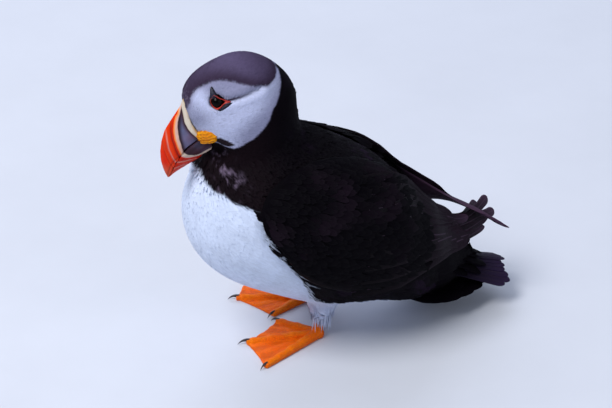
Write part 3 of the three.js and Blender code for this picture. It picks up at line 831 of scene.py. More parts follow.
# ---------------------------------------------------------------- sizes and colours
def shade_property(name, description, *values):
    return bpy.props.FloatVectorProperty(name=name, description=description, default=tuple(colour(*values)),
                                         subtype="COLOR", size=3, min=0.0, max=1.0)


def length_property(name, description, millimetres):
    return bpy.props.FloatProperty(name=name, description=description, default=millimetres * MM,
                                   min=0.0, subtype="DISTANCE", unit="LENGTH", precision=5)


class PuffinPlumage(bpy.types.PropertyGroup):
    """Colours of the plumage, shared by the skin and the feathers over it"""

    face: shade_property("Face", "Feathers of the cheek", 192, 198, 226)
    # Greyer tone behind the eye above the crease and before the eye; low on the cheek the same colour is
    # painted shade.
    face_shade: shade_property("Face shade", "Greyer feathers behind the eye and low on the cheek",
                               122, 121, 150)
    face_rim: shade_property("Face rim", "Feathers at the edge of the cheek", 140, 138, 168)
    cap: shade_property("Cap", "Feathers of the crown", 84, 74, 102)
    cap_edge: shade_property("Cap edge", "Darker feathers at the lower and rear edge of the crown",
                             50, 38, 56)
    cap_fleck: shade_property("Cap fleck", "Pale flecks of the forehead", 150, 140, 160)
    # Painted shade in the groove of the crease.
    crease: shade_property("Crease", "Feathers in the crease behind the eye", 52, 42, 60)
    wedge: shade_property("Wedge", "Dark patch behind the corner of the mouth", 38, 29, 34)
    neck: shade_property("Neck", "Feathers of the neck and nape", 7, 3, 8)
    collar: shade_property("Collar", "Feathers of the collar over the breast", 19, 10, 15)
    speckle: shade_property("Speckle", "Worn flecks in the collar", 122, 106, 128)
    back: shade_property("Back", "Feathers of the back and flanks", 6, 3, 8)
    # Painted sheen of the back's black feathers, laid on in patches.
    gloss: shade_property("Gloss", "Browner, glossier patches of the back", 34, 20, 40)
    breast: shade_property("Breast", "Feathers of the breast", 206, 217, 238)
    # A little darker than the breast: painted shade low on the body.
    belly: shade_property("Belly", "Feathers of the belly and thighs", 196, 205, 230)


class PuffinSkin(bpy.types.PropertyGroup):
    """Sizes of the skin under the feathers"""

    grain: length_property("Grain", "Size of the skin's faces", 1.1)
    swell: length_property("Swell", "How far the parts are let out before they join", 0.3)
    body_depth: length_property("Body depth", "Depth of the coat on the body", 1.8)
    neck_depth: length_property("Neck depth", "Depth of the coat on the neck", 1.8)
    head_depth: length_property("Head depth", "Depth of the coat on the head", 1.0)
    edge_depth: length_property("Edge depth", "Depth of the coat at the bill and the eyes", 0.7)
    crease_depth: length_property("Crease depth", "Depth of the crease behind the eye", 1.1)
    crease_width: length_property("Crease width", "Half width of the crease behind the eye", 1.1)


class PuffinCoat(bpy.types.PropertyGroup):
    """Sizes of the small feathers"""

    face_length: length_property("Face length", "Length of the feathers of the head", 3.9)
    face_spacing: length_property("Face spacing", "Space between feathers of the head", 0.72)
    neck_length: length_property("Neck length", "Length of the feathers of the neck", 6.5)
    neck_spacing: length_property("Neck spacing", "Space between feathers of the neck", 1.35)
    breast_length: length_property("Breast length", "Length of the feathers of the breast and belly", 10.5)
    breast_spacing: length_property("Breast spacing", "Space between feathers of the breast and belly", 1.05)
    back_length: length_property("Back length", "Length of the feathers of the back", 10.0)
    back_spacing: length_property("Back spacing", "Space between feathers of the back", 2.1)
    thigh_length: length_property("Thigh length", "Length of the feathers that hang from the thighs", 10.5)
    shoulder_length: length_property("Shoulder length", "Length of the feathers over the wings' edges", 15.0)
    shoulder_spacing: length_property("Shoulder spacing", "Space between feathers over the wings' edges", 2.2)
    tail_covert_length: length_property("Tail covert length",
                                        "Length of the feathers over the tail's root", 24.0)
    wisp_length: length_property("Wisp length", "Length of the loose white wisps along the flank", 8.0)


class PuffinWings(bpy.types.PropertyGroup):
    """Sizes and colours of the wings and the tail"""

    covert: shade_property("Coverts", "Small feathers over the wing", 5, 3, 7)
    flight: shade_property("Flight feathers", "Long feathers near their tips", 66, 46, 64)
    # On the left wing this dark colour runs almost to the primaries' tips, as painted shade.
    flight_root: shade_property("Flight feather roots", "Long feathers near their roots", 14, 8, 14)
    # Its violet near the tips is painted sheen.
    tail: shade_property("Tail feathers", "Feathers of the tail near their tips", 36, 22, 50)
    covert_length: length_property("Covert length", "Length of the coverts at the wing's front", 7.0)
    scapular_length: length_property("Long covert length", "Length of the coverts toward the tip", 14.0)
    covert_spacing: length_property("Covert spacing", "Space between coverts at the wing's front", 2.3)
    thickness: length_property("Thickness", "Thickness of the long feathers", 0.32)


class PuffinBill(bpy.types.PropertyGroup):
    """Sizes and colours of the bill and the rosettes"""

    grain: length_property("Grain", "Size of the bill's faces", 0.36)
    red: shade_property("Red", "Outer half of the bill", 194, 14, 0)
    orange: shade_property("Orange", "Ridges of the outer half", 222, 58, 4)
    groove: shade_property("Groove", "Inside of the grooves", 120, 24, 14)
    tip: shade_property("Tip", "Worn tip of the bill", 196, 92, 60)
    cream: shade_property("Cream", "Ridge between the slate and the red", 214, 176, 160)
    amber: shade_property("Amber", "Front edge of the cream ridge", 228, 132, 62)
    slate: shade_property("Slate", "Inner half of the bill", 100, 102, 134)
    slate_dark: shade_property("Dark slate", "Inner half of the bill beside its rims", 34, 26, 36)
    rim: shade_property("Rim", "Pale rim at the base of the bill", 204, 194, 176)
    ochre: shade_property("Ochre", "Rear edge of the rim", 178, 148, 96)
    mouth: shade_property("Mouth line", "Line where the halves of the bill meet", 60, 20, 16)
    rosette: shade_property("Rosette", "Fleshy rosette at the corner of the mouth", 242, 166, 0)
    # Also painted as shade into the hollows of the folds.
    rosette_fold: shade_property("Rosette folds", "Folds of the rosette", 176, 88, 0)


class PuffinEyes(bpy.types.PropertyGroup):
    """Sizes and colours of the eyes, their rings and their horny plates"""

    radius: length_property("Radius", "Radius of the eyeball", 4.2)
    pupil: shade_property("Pupil", "Pupil", 3, 2, 3)
    iris: shade_property("Iris", "Iris", 9, 4, 4)
    ring: shade_property("Ring", "Bare skin round the eye", 204, 44, 20)
    plate: shade_property("Plates", "Horny plates above and below the eye", 36, 36, 52)
    plate_dark: shade_property("Dark plates", "Edges of the horny plates", 13, 10, 16)


class PuffinFeet(bpy.types.PropertyGroup):
    """Sizes and colours of the feet and claws"""

    grain: length_property("Grain", "Size of the feet's faces", 0.5)
    orange: shade_property("Orange", "Skin of the feet", 255, 130, 0)
    orange_deep: shade_property("Deep orange", "Webs and worn patches", 250, 102, 0)
    # Also painted as shade into the hollows of the toes and webs.
    seam: shade_property("Seams", "Seams between the scales", 168, 48, 0)
    claw: shade_property("Claws", "Horn of the claws", 28, 22, 26)
    claw_tip: shade_property("Claw tips", "Worn horn at the claws' tips", 66, 56, 58)


class PuffinStage(bpy.types.PropertyGroup):
    """The floor, the lights and the camera"""

    floor: shade_property("Floor", "Pale floor", 206, 209, 216)
    sky: shade_property("Sky", "Soft light all round", 196, 206, 226)
    floor_size: length_property("Floor size", "Side of the floor", 9000.0)
    azimuth: bpy.props.FloatProperty(name="Azimuth", description="Turn of the camera round the bird",
                                     default=68 * DEGREE, subtype="ANGLE", unit="ROTATION")
    elevation: bpy.props.FloatProperty(name="Elevation", description="Height of the camera above the horizon",
                                       default=32 * DEGREE, subtype="ANGLE", unit="ROTATION")
    distance: length_property("Distance", "Distance of the camera from the heels", 1400.0)
    lens: bpy.props.FloatProperty(name="Lens", description="Focal length for a sensor 36 mm wide",
                                  default=138.35, subtype="DISTANCE_CAMERA", min=1.0)
    aim_right: bpy.props.FloatProperty(name="Aim right", description="Turn of the view to the right",
                                       default=-0.0487 * DEGREE, subtype="ANGLE", unit="ROTATION")
    aim_up: bpy.props.FloatProperty(name="Aim up", description="Turn of the view upward",
                                    default=3.018 * DEGREE, subtype="ANGLE", unit="ROTATION")


# ---------------------------------------------------------------- skin
FLESH = ("trunk", "neck", "head", "leg_left", "leg_right")
HEAD_MIDDLE = np.array([-19.0, 0.0, -22.0])
BILL_ROOT = np.array([6.0, 0.0, -15.0])
EYE_OUTWARD = unit(np.array([0.074, 0.858, 0.508]))  # forward, side, up
RING_RISE = 2.93  # from the eyeball's middle to the plane of its ring
SOCKET = 3.0  # half width of the eye socket
SOCKET_DEPTH = 3.2
FAR = 1e3  # a distance past any on the bird
# How far the chin reaches to each side beside the bill, by how far forward it is.
CHIN_FORWARD = [1, 3.5, 6, 9, 12, 16, 20]
CHIN_SIDE = [19.5, 15.0, 8.5, 4.2, 3.4, 3, 3]


def eye_place(hand):
    """The eyeball's middle and the way it looks, in the bird's frame."""
    middle = node_centre("eye_" + hand)
    return middle, head_axes(EYE_OUTWARD * (1, HANDS[hand], 1))


def off_sight(points, hand):
    """Distance from an eye's line of sight, far for points behind the eye."""
    middle, outward = eye_place(hand)
    offset = points - middle
    along = offset @ outward
    return np.where(along > 0, np.linalg.norm(offset - along[:, None] * outward, axis=1), FAR)


def eye_gap(points):
    return np.minimum(*(off_sight(points, hand) for hand in HANDS))


def coat_depth(points, sizes):
    head = in_head(points)
    from_head_middle = np.linalg.norm(head - HEAD_MIDDLE, axis=1)
    depth = sizes.body_depth + (sizes.neck_depth - sizes.body_depth) * ramp(from_head_middle, 70, 45)
    depth = depth + (sizes.head_depth - sizes.neck_depth) * ramp(from_head_middle, 42, 32)
    near = np.maximum(ramp(np.linalg.norm(head - BILL_ROOT, axis=1), 20, 12), ramp(eye_gap(points), 9, 4))
    return (depth + (sizes.edge_depth - sizes.head_depth) * near) / MM


def shape_skin(points, normal, sizes):
    """Draws the skin in under the coat, with the crease, the eye sockets and the chin."""
    points = points - normal * coat_depth(points, sizes)[:, None]
    head = in_head(points)
    crease, _ = distance_to(head[:, [0, 2]], CREASE_CURVE)
    crease = np.where(np.abs(head[:, 1]) > 9, crease, FAR)
    groove = sizes.crease_depth / MM * np.exp(-(crease / (sizes.crease_width / MM)) ** 2)
    brow = 0.55 * np.exp(-((crease - 3.2) / 2) ** 2)
    points = points + normal * (brow - groove)[:, None]
    for hand in HANDS:
        sunk = SOCKET_DEPTH * ramp(off_sight(points, hand), SOCKET + 0.6, SOCKET - 0.8)
        points = points - eye_place(hand)[1] * sunk[:, None]
    head = in_head(points)
    limit = np.interp(head[:, 0], CHIN_FORWARD, CHIN_SIDE, left=40, right=CHIN_SIDE[-1])
    beside_bill = ramp(head[:, 2], -20, -24) * ramp(head[:, 2], -41, -35.5)
    over = np.clip(np.abs(head[:, 1]) - limit, 0, None) * beside_bill
    head[:, 1] -= np.sign(head[:, 1]) * over
    ahead = np.clip(beyond_line(head[:, [0, 2]], RIM_CURVE) - 0.1, 0, 3) * (head[:, 2] > -24)
    shrink = 1 - 0.22 * ramp(ahead, 0, 1.2)
    head[:, 1] *= shrink
    head[:, 2] -= 1.5 * ramp(ahead, 0, 1.5) * ramp(np.abs(head[:, 1]), 5, 1)
    return from_head(head)


def build_skin(context):
    sizes = context.scene.puffin_skin
    copies = [bare_copy(node, sizes.swell / MM) for node in FLESH]
    skin = fused("skin", copies, sizes.grain / MM, 14)
    place_vertices(skin, shape_skin(coordinates(skin), normals(skin), sizes))
    apply_modifier(skin, "SMOOTH", factor=0.35, iterations=2)
    unwrap(skin, margin=0.001, turn_out=True)
    tints = plumage(coordinates(skin))
    paint(skin, tints * 0.85)
    paint(skin, tints * 0.6, "under")
    inputs = {"Second Tint": None, "Scale": 260.0, "Roughness": 0.62}
    material = finish_material("puffin skin", "Mottled skin", inputs, 0.3, specular=0.06)
    graph = Graph(material.node_tree)
    under = graph.add("Attribute", attribute_name="under").outputs["Color"]
    effect = next(node for node in material.node_tree.nodes if node.type == "GROUP")
    graph.join(under, effect.inputs["Second Tint"])
    finished(skin, material, "plumage_black", *FLESH)


# ---------------------------------------------------------------- small feathers
LOWER_BILL_AREA = np.array([(5, -24), (4.6, -30), (6.4, -33.8), (13, -35.2), (18, -34.6), (24, -32),
                            (28, -21), (10, -21)], float)
ROSETTE_MIDDLE = np.array([6.6, 12.8, -21.4])
BODY_LIE = np.array([0.0, 1.0, -0.7])
THIGH_LIE = np.array([0.0, 0.1, -1.0])
UNEVEN = {"head": 0.04, "neck": 0.14, "white": 0.02, "back": 0.12}
TIP_HEIGHT = {"head": 0.5, "neck": 0.85, "white": 0.26, "back": 0.8}  # shares of the coat's depth
WING_COVER = 8.0  # a wing hides the skin that lies closer under it than this
HEAD_REACH = 37  # the head's feathers grow this far from its middle, and above HEAD_LOW
HEAD_LOW = 124
NECK_REAR = 8
WHITE_LAP = 1.5  # how far the white feathers' roots reach past the edge of the white
MOST_TRIANGLES = 190000  # in one piece of the coat
EYE_CLEAR = 3.4


def under_wings(points, normal):
    """True where a wing lies well over the skin."""
    hidden = np.zeros(len(points), bool)
    trees = [Surface(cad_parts["wing_" + hand]).tree for hand in HANDS]
    across = unit(np.cross(normal, BODY_LIE))
    along = np.cross(across, normal)
    for number, spot in enumerate(points):
        starts = (spot, spot + along[number] * 7, spot - along[number] * 7,
                  spot + across[number] * 6, spot - across[number] * 6)
        for tree in trees:
            ray = normal[number].tolist()
            if all(tree.ray_cast(start.tolist(), ray, WING_COVER)[0] for start in starts):
                hidden[number] = True
    return hidden


def even_tint(shade):
    """A function for vanes() that gives every feather the same colour."""
    return lambda at_root, at_tip: np.tile(np.array(shade), (len(at_root), 1))


def plumage_lie(points):
    """The way the small feathers point: away from the bill on the head, back and down on the body."""
    from_bill = unit(points - from_head((4, 0, -18)))
    away = np.linalg.norm(in_head(points) - HEAD_MIDDLE, axis=1)
    return unit(blend(from_bill, unit(BODY_LIE), ramp(away, 33, 62)))


def breast_lie(points):
    return np.tile(unit(BODY_LIE), (len(points), 1))


def regions(points):
    """True or false for each point: on the head, on the neck, white, or black."""
    head = in_head(points)
    away = np.linalg.norm(head - HEAD_MIDDLE, axis=1)
    on_head = (away < HEAD_REACH) & (points[:, 2] > HEAD_LOW)
    white = beyond_line(points[:, 1:], BREAST_CURVE) < WHITE_LAP
    neck = ~on_head & ~white & (points[:, 1] < NECK_REAR)
    return {"head": on_head, "neck": neck, "white": white & ~on_head, "back": ~on_head & ~white & ~neck}


def bare_places(points):
    """True where no small feathers grow: the eyes, the rosettes and beside the bill."""
    head = in_head(points)
    mirrored = head * (1, 0, 1) + np.abs(head) * (0, 1, 0)
    at_bill = inside(head[:, [0, 2]], LOWER_BILL_AREA) & (np.abs(head[:, 1]) > 3)
    in_front = (beyond_line(head[:, [0, 2]], RIM_CURVE) > -0.3) & (head[:, 2] > -26)
    rosette = np.linalg.norm((mirrored - ROSETTE_MIDDLE) / (4.3, 4, 3.6), axis=1) < 1
    return at_bill | in_front | rosette | (eye_gap(points) < EYE_CLEAR)


def build_coat(context):
    sizes = context.scene.puffin_coat
    depths = context.scene.puffin_skin
    skin = Surface(bpy.data.objects["skin"], "OFBake")
    centres = skin.points[skin.corners].mean(axis=1)
    facing = unit(skin.normals[skin.corners].mean(axis=1))
    hidden = under_wings(centres, facing)
    kind = regions(centres)
    bare = bare_places(centres)
    rng = np.random.default_rng(SEED)
    dark = plumage_material("black plumage", 70.0, 0.1, colour(20, 13, 22), 0.62, 0.0, 0.25, 0.03)
    pale = plumage_material("white plumage", 80.0, 0.05, colour(236, 240, 248), 0.7, 0.1, 0.15, 0.2)
    head_finish = plumage_material("head plumage", 40.0, 0.0, colour(200, 200, 215), 0.66, 0.0, 0.15, 0.04)
    # Form, length, spacing, half width by length, finish, slot, share of the way to the tip at which the
    # colour is taken, lighter edge and raggedness.
    plans = {
        "head": (SMALL_VANE, sizes.face_length, sizes.face_spacing, 0.17, head_finish, "plumage_face",
                 0.6, 0.0, 0.06),
        "neck": (SOFT_VANE, sizes.neck_length, sizes.neck_spacing, 0.22, dark, "plumage_black",
                 0.3, 0.003, 0.2),
        "white": (SOFT_VANE, sizes.breast_length, sizes.breast_spacing, 0.13, pale, "plumage_white",
                  0.2, 0.0, 0.1),
        "back": (ROUND_VANE, sizes.back_length, sizes.back_spacing, 0.24, dark, "plumage_black",
                 0.25, 0.004, 0.12),
    }
    for region, plan in plans.items():
        form, length, spacing, slim, material, slot, reach, edge, ragged = plan
        open_here = kind[region] & ~hidden & ~bare
        close = np.minimum(np.linalg.norm(in_head(centres) - BILL_ROOT, axis=1) - 12, eye_gap(centres) - 3)
        gap = np.where(open_here, spacing / MM * (0.62 + 0.38 * ramp(close, 0, 8)), np.nan)
        roots, triangle = scatter(skin, lambda _: gap, rng, lambda spots: ~bare_places(spots))
        head = in_head(roots)
        near = np.minimum(np.linalg.norm(head - BILL_ROOT, axis=1) - 12, eye_gap(roots) - 3.2)
        shorten = 0.5 + 0.5 * ramp(near, 0, 9)
        lengths = length / MM * shorten
        depth = coat_depth(roots, depths)

        def tint(at_root, at_tip, reach=reach):
            return plumage(at_root + (at_tip - at_root) * reach)

        if region in ("head", "neck"):
            crisp = (np.ones(len(roots), bool), 1.0)
        else:
            crisp = (np.abs(beyond_line(roots[:, 1:], BREAST_CURVE)) < 9, 0.75)
        triangles = len(roots) * 2 * (len(form[0]) - 1) * (len(form[2]) - 1)
        parts = math.ceil(triangles / MOST_TRIANGLES)
        order = np.argsort(roots[:, 1], kind="stable")
        for number, part in enumerate(np.array_split(order, parts)):
            name = f"{region}_feathers" + (f"_{number + 1}" if parts > 1 else "")
            lie = breast_lie if region == "white" else plumage_lie
            form_sizes = (lengths[part], lengths[part] * slim, depth[part] * TIP_HEIGHT[region], 0.15)
            piece = vanes(name, skin, roots[part], triangle[part], lie, form, form_sizes, tint, rng,
                          ragged=ragged, edge=edge, crisp=(crisp[0][part], crisp[1]), uneven=UNEVEN[region],
                          unruly=0.05 if region in ("head", "white") else 0.16,
                          soft=0.97 if region == "white" else 0.7)
            finished(piece, material, slot)
    build_wisps(skin, sizes, depths, pale, rng)
    build_thighs(skin, centres, sizes, pale, rng)


def build_thighs(skin, centres, sizes, material, rng):
    """Looser, longer feathers that hang from the thighs over the shanks."""
    away = np.full(len(centres), FAR)
    for hand in HANDS:
        middle = node_centre("leg_" + hand)
        away = np.minimum(away, np.hypot(centres[:, 0] - middle[0], centres[:, 1] - middle[1]))
    chosen = (away < 10) & (centres[:, 2] < 28)
    roots, triangle = scatter(skin, lambda _: np.where(chosen, 0.6, np.nan), rng)
    low = ramp(roots[:, 2], 30, 16)
    length = sizes.thigh_length / MM * (0.55 + 0.45 * low) * rng.uniform(0.7, 1.1, len(roots))
    belly = even_tint(bpy.context.scene.puffin_plumage.belly)

    def toward_shank(points):
        inward = np.zeros_like(points)
        for hand in HANDS:
            middle = node_centre("tarsus_" + hand)
            near = np.hypot(points[:, 0] - middle[0], points[:, 1] - middle[1]) < 20
            inward[near] = (middle - points[near]) * (1, 1, 0)
        return unit(THIGH_LIE + inward * 0.062)

    piece = vanes("thigh_feathers", skin, roots, triangle, toward_shank, WISP, (length, 0.5, 0.8, 0.4),
                  belly, rng, ragged=0.2, uneven=0.5, unruly=0.13, soft=0.97, hang=True)
    finished(piece, material, "plumage_white")


WISPS = 460


def build_wisps(skin, sizes, depths, material, rng):
    """Loose white barbs that stray from the flank over the black."""
    line = smooth_line(BREAST_EDGE[9:20])
    picks = rng.random(WISPS) * (len(line) - 1)
    whole = picks.astype(int)
    spots = line[whole] + (line[whole + 1] - line[whole]) * (picks - whole)[:, None]
    guess = np.stack([np.full(len(spots), 70.0), spots[:, 0], spots[:, 1]], 1)
    guess[::2, 0] *= -1
    guess[:, 1] += rng.normal(-0.8, 1.6, len(guess))
    guess[:, 2] += rng.normal(0, 1.2, len(guess))
    found, where = [], []
    for place in guess.tolist():
        inward = (-1 if place[0] > 0 else 1, 0, 0)
        spot, _, triangle, _ = skin.tree.ray_cast(place, inward, 70)
        if spot:
            found.append(spot)
            where.append(triangle)
    roots = np.array(found)
    length = sizes.wisp_length / MM * rng.uniform(0.6, 1.3, len(roots))
    breast = even_tint(bpy.context.scene.puffin_plumage.breast)
    rise = coat_depth(roots, depths) + rng.uniform(0.5, 2.2, len(roots))
    piece = vanes("flank_wisps", skin, roots, np.array(where), plumage_lie, WISP, (length, 0.16, rise, 0),
                  breast, rng, ragged=0.0, unruly=0.3)
    finished(piece, material, "plumage_white")


# ---------------------------------------------------------------- wings and tail
# The upper and lower edges of each folded wing, from the shoulder to the tip.
WING_EDGES = {
    "left": ([(36, -45, 104), (29, -34, 117), (25, -12, 124), (19, 18, 120), (13, 45, 105), (11, 63, 82),
              (8, 80, 67), (1, 99, 56), (-17, 125, 54)],
             [(42, -38, 88), (47, -22, 62), (48, 0, 46), (43, 28, 42), (34, 51, 46), (27, 66, 48),
              (19, 82, 48.5), (11, 99, 46.5), (-7, 124, 43)]),
    "right": ([(-36, -45, 104), (-29, -34, 117), (-25, -12, 124), (-18, 18, 122), (-13, 45, 111),
               (-13, 62, 92), (-11, 80, 76), (-2, 99, 63), (10, 125, 47)],
              [(-42, -38, 88), (-47, -22, 62), (-48, 0, 46), (-43, 28, 42), (-36, 51, 50),
               (-31, 68, 56), (-22, 84, 60), (-9, 103, 58), (8, 127, 46)]),
}


class Wing:
    """Places on the outer face of a folded wing, by shares of its length and of its depth."""

    def __init__(self, hand):
        upper, lower = WING_EDGES[hand]
        self.upper = smooth_line(upper, 12)
        self.lower = smooth_line(lower, 12)
        self.hand = HANDS[hand]
        self.surface = Surface(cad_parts["wing_" + hand])

    def edge(self, line, share):
        place = np.clip(share, 0, 1) * (len(line) - 1)
        return np.stack([np.interp(place, np.arange(len(line)), line[:, axis]) for axis in range(3)], -1)

    def place(self, along, down):
        """Points of the outer face and the way out of it."""
        top = self.edge(self.upper, along)
        bottom = self.edge(self.lower, along)
        flat = top + (bottom - top) * np.asarray(down)[..., None]
        ahead = self.edge(self.upper, along + 0.03) - self.edge(self.upper, along - 0.03)
        out = unit(np.cross(bottom - top, ahead)) * self.hand
        out *= np.where((out[:, :1] * self.hand) + out[:, 2:] < 0, -1, 1)
        spots = []
        for spot, ray in zip(flat, out):
            hit = self.surface.tree.ray_cast((spot + ray * 30).tolist(), (-ray).tolist(), 45)[0]
            spots.append(hit if hit else spot)
        return np.array(spots), out

    def lie(self, points):
        """The way the coverts point: along the wing, between its two edges."""
        directions = []
        for line in (self.upper, self.lower):
            gap = np.abs(points[:, None, 1] - line[None, :, 1])
            nearest = np.clip(gap.argmin(axis=1), 2, len(line) - 3)
            directions.append(unit(line[nearest + 2] - line[nearest - 2]))
        return unit(0.45 * directions[0] + 0.55 * directions[1] + np.array([0, 0, -0.12]))


PRIMARIES = [  # root along and down, tip along and down, half widths toward the upper and lower edge
    ((0.46, 0.9), (0.95, 0.93), (3.2, 1.8)),
    ((0.46, 0.76), (0.97, 0.6), (3.0, 2.6)),
    ((0.45, 0.6), (1.0, 0.3), (3.0, 2.8)),
    ((0.44, 0.48), (0.995, 0.06), (2.8, 2.8)),
    ((0.43, 0.4), (0.94, 0.05), (2.8, 3.0)),
    ((0.42, 0.34), (0.885, 0.1), (3.0, 3.4)),
]
FINGERS = {  # the rounded tips of upper primaries of the left wing, which part and rise, by place above
    2: (-11.0, 125.5, 48.5),
    3: (-15.5, 122.5, 56.0),
    4: (-20.0, 117.5, 51.0),
}
FINGER_HALF = (3.1, 3.1)
FAR_TIP = np.array([9.0, 126.5, 46.5])  # where the primaries of the right wing come together
FAR_STEP = np.array([0.0, -3.4, 2.5])  # from the tip of one of those primaries to the next
FAR_FACING = np.array([0.45, -0.12, 0.88])  # the way up of their tips
GATHERED = 0.45  # how close the primaries of the right wing lie at their tips
SECONDARIES = 9
SECONDARY_HALF = (5.8, 5.4)
SHELL_REAR = 96.0  # behind this the wing's own shape draws in under its quills
BROWN_REAR = (58.0, 84.0)  # where the covered black of a wing turns brown
COVERED = 0.6  # share of the wing's length that the coverts reach


def long_feather(wing, spots, out, lift, half, **more):
    """One feather for quills(), with its half widths turned round on the right wing."""
    return {"spine": spots + out * lift[:, None], "up": resampled(out, np.linspace(0, 1, QUILL_STATIONS)),
            "half": half if wing.hand > 0 else half[::-1], **more}


def long_feathers(wing, sizes):
    flight, root = np.array(sizes.flight), np.array(sizes.flight_root)
    feathers = []
    t = np.linspace(0, 1, 16)
    for layer, ((along0, down0), (along1, down1), half) in enumerate(PRIMARIES):
        lift = np.full(len(t), 0.1 + 0.22 * layer)
        rounding = 0.1
        if wing.hand < 0:
            down1 = 0.5 + (down1 - 0.5) * GATHERED
            along1 = 1 - 0.012 * layer
        spots, out = wing.place(along0 + (along1 - along0) * t, down0 + (down1 - down0) * t)
        if wing.hand < 0:
            spots = spots + (FAR_TIP + FAR_STEP * layer - spots[-1]) * ramp(t, 0.5, 1)[:, None] ** 1.5
            out = unit(blend(out, FAR_FACING, ramp(t, 0.5, 0.9)))
            rounding = 0.32
        elif layer in FINGERS:
            spots = spots + (np.array(FINGERS[layer]) - spots[-1]) * ramp(t, 0.8, 1)[:, None] ** 1.4
            half = FINGER_HALF
            rounding = 0.045
        # On the left wing the primaries keep the dark root colour until close to their tips: painted shade
        # over the stretch between the secondaries and the fingers.
        feathers.append(long_feather(wing, spots, out, lift, half, tints=(root, flight), tip=rounding,
                                     late=9 if wing.hand > 0 else 1))
    t = np.linspace(0, 1, 10)
    for layer in range(SECONDARIES):
        share = layer / (SECONDARIES - 1)
        along = 0.3 + 0.06 * share + (0.565 - 0.115 * share) * t
        down = 0.95 - 0.8 * share + (0.0 - 0.02 * share) * t
        lift = 0.1 + (0.04 * layer + 0.9) * ramp(t, 0.45, 0.75)
        feathers.append(long_feather(wing, *wing.place(along, down), lift, SECONDARY_HALF,
                                     tints=(root * 0.5, flight * 0.22), tip=0.12, ridge=0.2))
    return feathers


def build_wings(context):
    sizes = context.scene.puffin_wings
    rng = np.random.default_rng(SEED + 1)
    covert = np.array(sizes.covert)
    quill_finish = plumage_material("flight feathers", 160.0, 0.4, colour(84, 66, 84), 0.5, 0.0, 0.3, 0.08)
    covert_finish = plumage_material("wing coverts", 70.0, 0.1, colour(20, 13, 22), 0.58, 0.0, 0.25, 0.03)
    for hand in HANDS:
        node = "wing_" + hand
        wing = Wing(hand)
        shell = bare_copy(node)
        shell.name = node + "_base"
        apply_modifier(shell, "SUBSURF", levels=2, render_levels=2)
        apply_modifier(shell, "SMOOTH", factor=0.5, iterations=4)
        apply_modifier(shell, "DISPLACE", strength=-0.25 * MM, mid_level=0)
        points = coordinates(shell)
        gather = ramp(points[:, 1], SHELL_REAR, SHELL_REAR + 30)[:, None] * 0.85
        anchor = (wing.edge(wing.upper, np.array([0.87])) + wing.edge(wing.lower, np.array([0.87]))) / 2
        place_vertices(shell, points + (anchor - points) * gather)
        unwrap(shell)
        shell.data.uv_layers.new(name="Vane")
        rear = ramp(coordinates(shell)[:, 1], *BROWN_REAR) * 0.8
        paint(shell, blend(covert * 0.8, np.array(sizes.flight), rear))
        finished(shell, covert_finish, "plumage_black", node)

        piece = quills(node + "_quills", long_feathers(wing, sizes), sizes.thickness / MM)
        finished(piece, quill_finish, "plumage_black")

        surface = Surface(shell, "OFBake")
        centres = surface.points[surface.corners].mean(axis=1)
        facing = unit(surface.normals[surface.corners].mean(axis=1))
        back = ramp(centres[:, 1], -40, 95)
        outer = (facing[:, 0] * wing.hand + facing[:, 2]) > 0.15
        gap = sizes.covert_spacing / MM * (1 + back)
        rear = wing.edge(wing.upper, np.array([COVERED]))[0]
        within = centres[:, 1] + (centres[:, 2] - rear[2]) * -0.2 < rear[1]
        gap = np.where(outer & within, gap, np.nan)
        roots, triangle = scatter(surface, lambda _: gap, rng)
        share = ramp(roots[:, 1], -40, 70)
        length = (sizes.covert_length + (sizes.scapular_length - sizes.covert_length) * share) / MM
        to_edge, _ = distance_to(roots, wing.upper)
        rise = (1.1 + 1.9 * ramp(roots[:, 1], -5, 40)) * (0.4 + 0.6 * ramp(to_edge, 3, 12))

        def tint(at_root, at_tip):
            # Painted sheen: patches of the coverts lean toward the brown of the flight feathers.
            covert_sheen = ramp(value_noise(at_root, 14, 4), 0.0, 1.0) * 0.14
            return blend(covert, np.array(sizes.flight), covert_sheen)

        piece = vanes(node + "_coverts", surface, roots, triangle, wing.lie, ROUND_VANE,
                      (length, length * 0.24, rise, 0.1), tint, rng, ragged=0.09, edge=0.0025, unruly=0.1)
        finished(piece, covert_finish, "plumage_black")


TAIL_ROOT = np.array([0.0, 80.0, 33.0])
TAIL_PITCH = -15 * DEGREE
TAIL_LENGTH = 49.0
TAIL_SPREAD = (9.0, 20.5)  # half widths of the fan at the roots and at the tips
TAIL_ARCH = 6.5
TAIL_FEATHERS = 14
# Rows of coverts over and under the tail: how many, their roots and tips (half width, back, up) and the
# half width of each.
TAIL_COVER = [
    (9, (10.0, 66.0, 44.0), (17.0, 104.0, 29.5), 4.6),
    (7, (7.0, 72.0, 44.0), (13.5, 113.0, 27.5), 4.4),
    (11, (15.0, 56.0, 22.0), (24.0, 96.0, 18.0), 5.0),
    (9, (12.0, 66.0, 24.0), (20.5, 108.0, 15.5), 4.8),
    (7, (9.0, 74.0, 25.0), (17.0, 116.0, 15.0), 4.4),
]


def tail_cover(shade, rng):
    """Soft coverts that close the tail's root, above and below."""
    feathers = []
    t = np.linspace(0, 1, 10)
    for count, root, tip, half in TAIL_COVER:
        over = root[2] > TAIL_ROOT[2]
        for share in np.linspace(-1, 1, count):
            reach = rng.uniform(0.9, 1.06)
            start = np.array([share * root[0], root[1], root[2] - 3.0 * share ** 2])
            end = np.array([share * tip[0], tip[1] - 7 * share ** 2, tip[2] - 5.0 * share ** 2 * over])
            spine = start + (end - start) * (t * reach)[:, None]
            spine[:, 2] += 2.2 * np.sin(math.pi * t) * (1 if over else -1)
            up = np.tile(unit([0.35 * share, 0.2, 1 if over else 0.9]), (QUILL_STATIONS, 1))
            feathers.append({"spine": spine, "up": up, "half": (half, half), "tints": (shade * 0.8, shade),
                             "tip": 0.3})
    return feathers


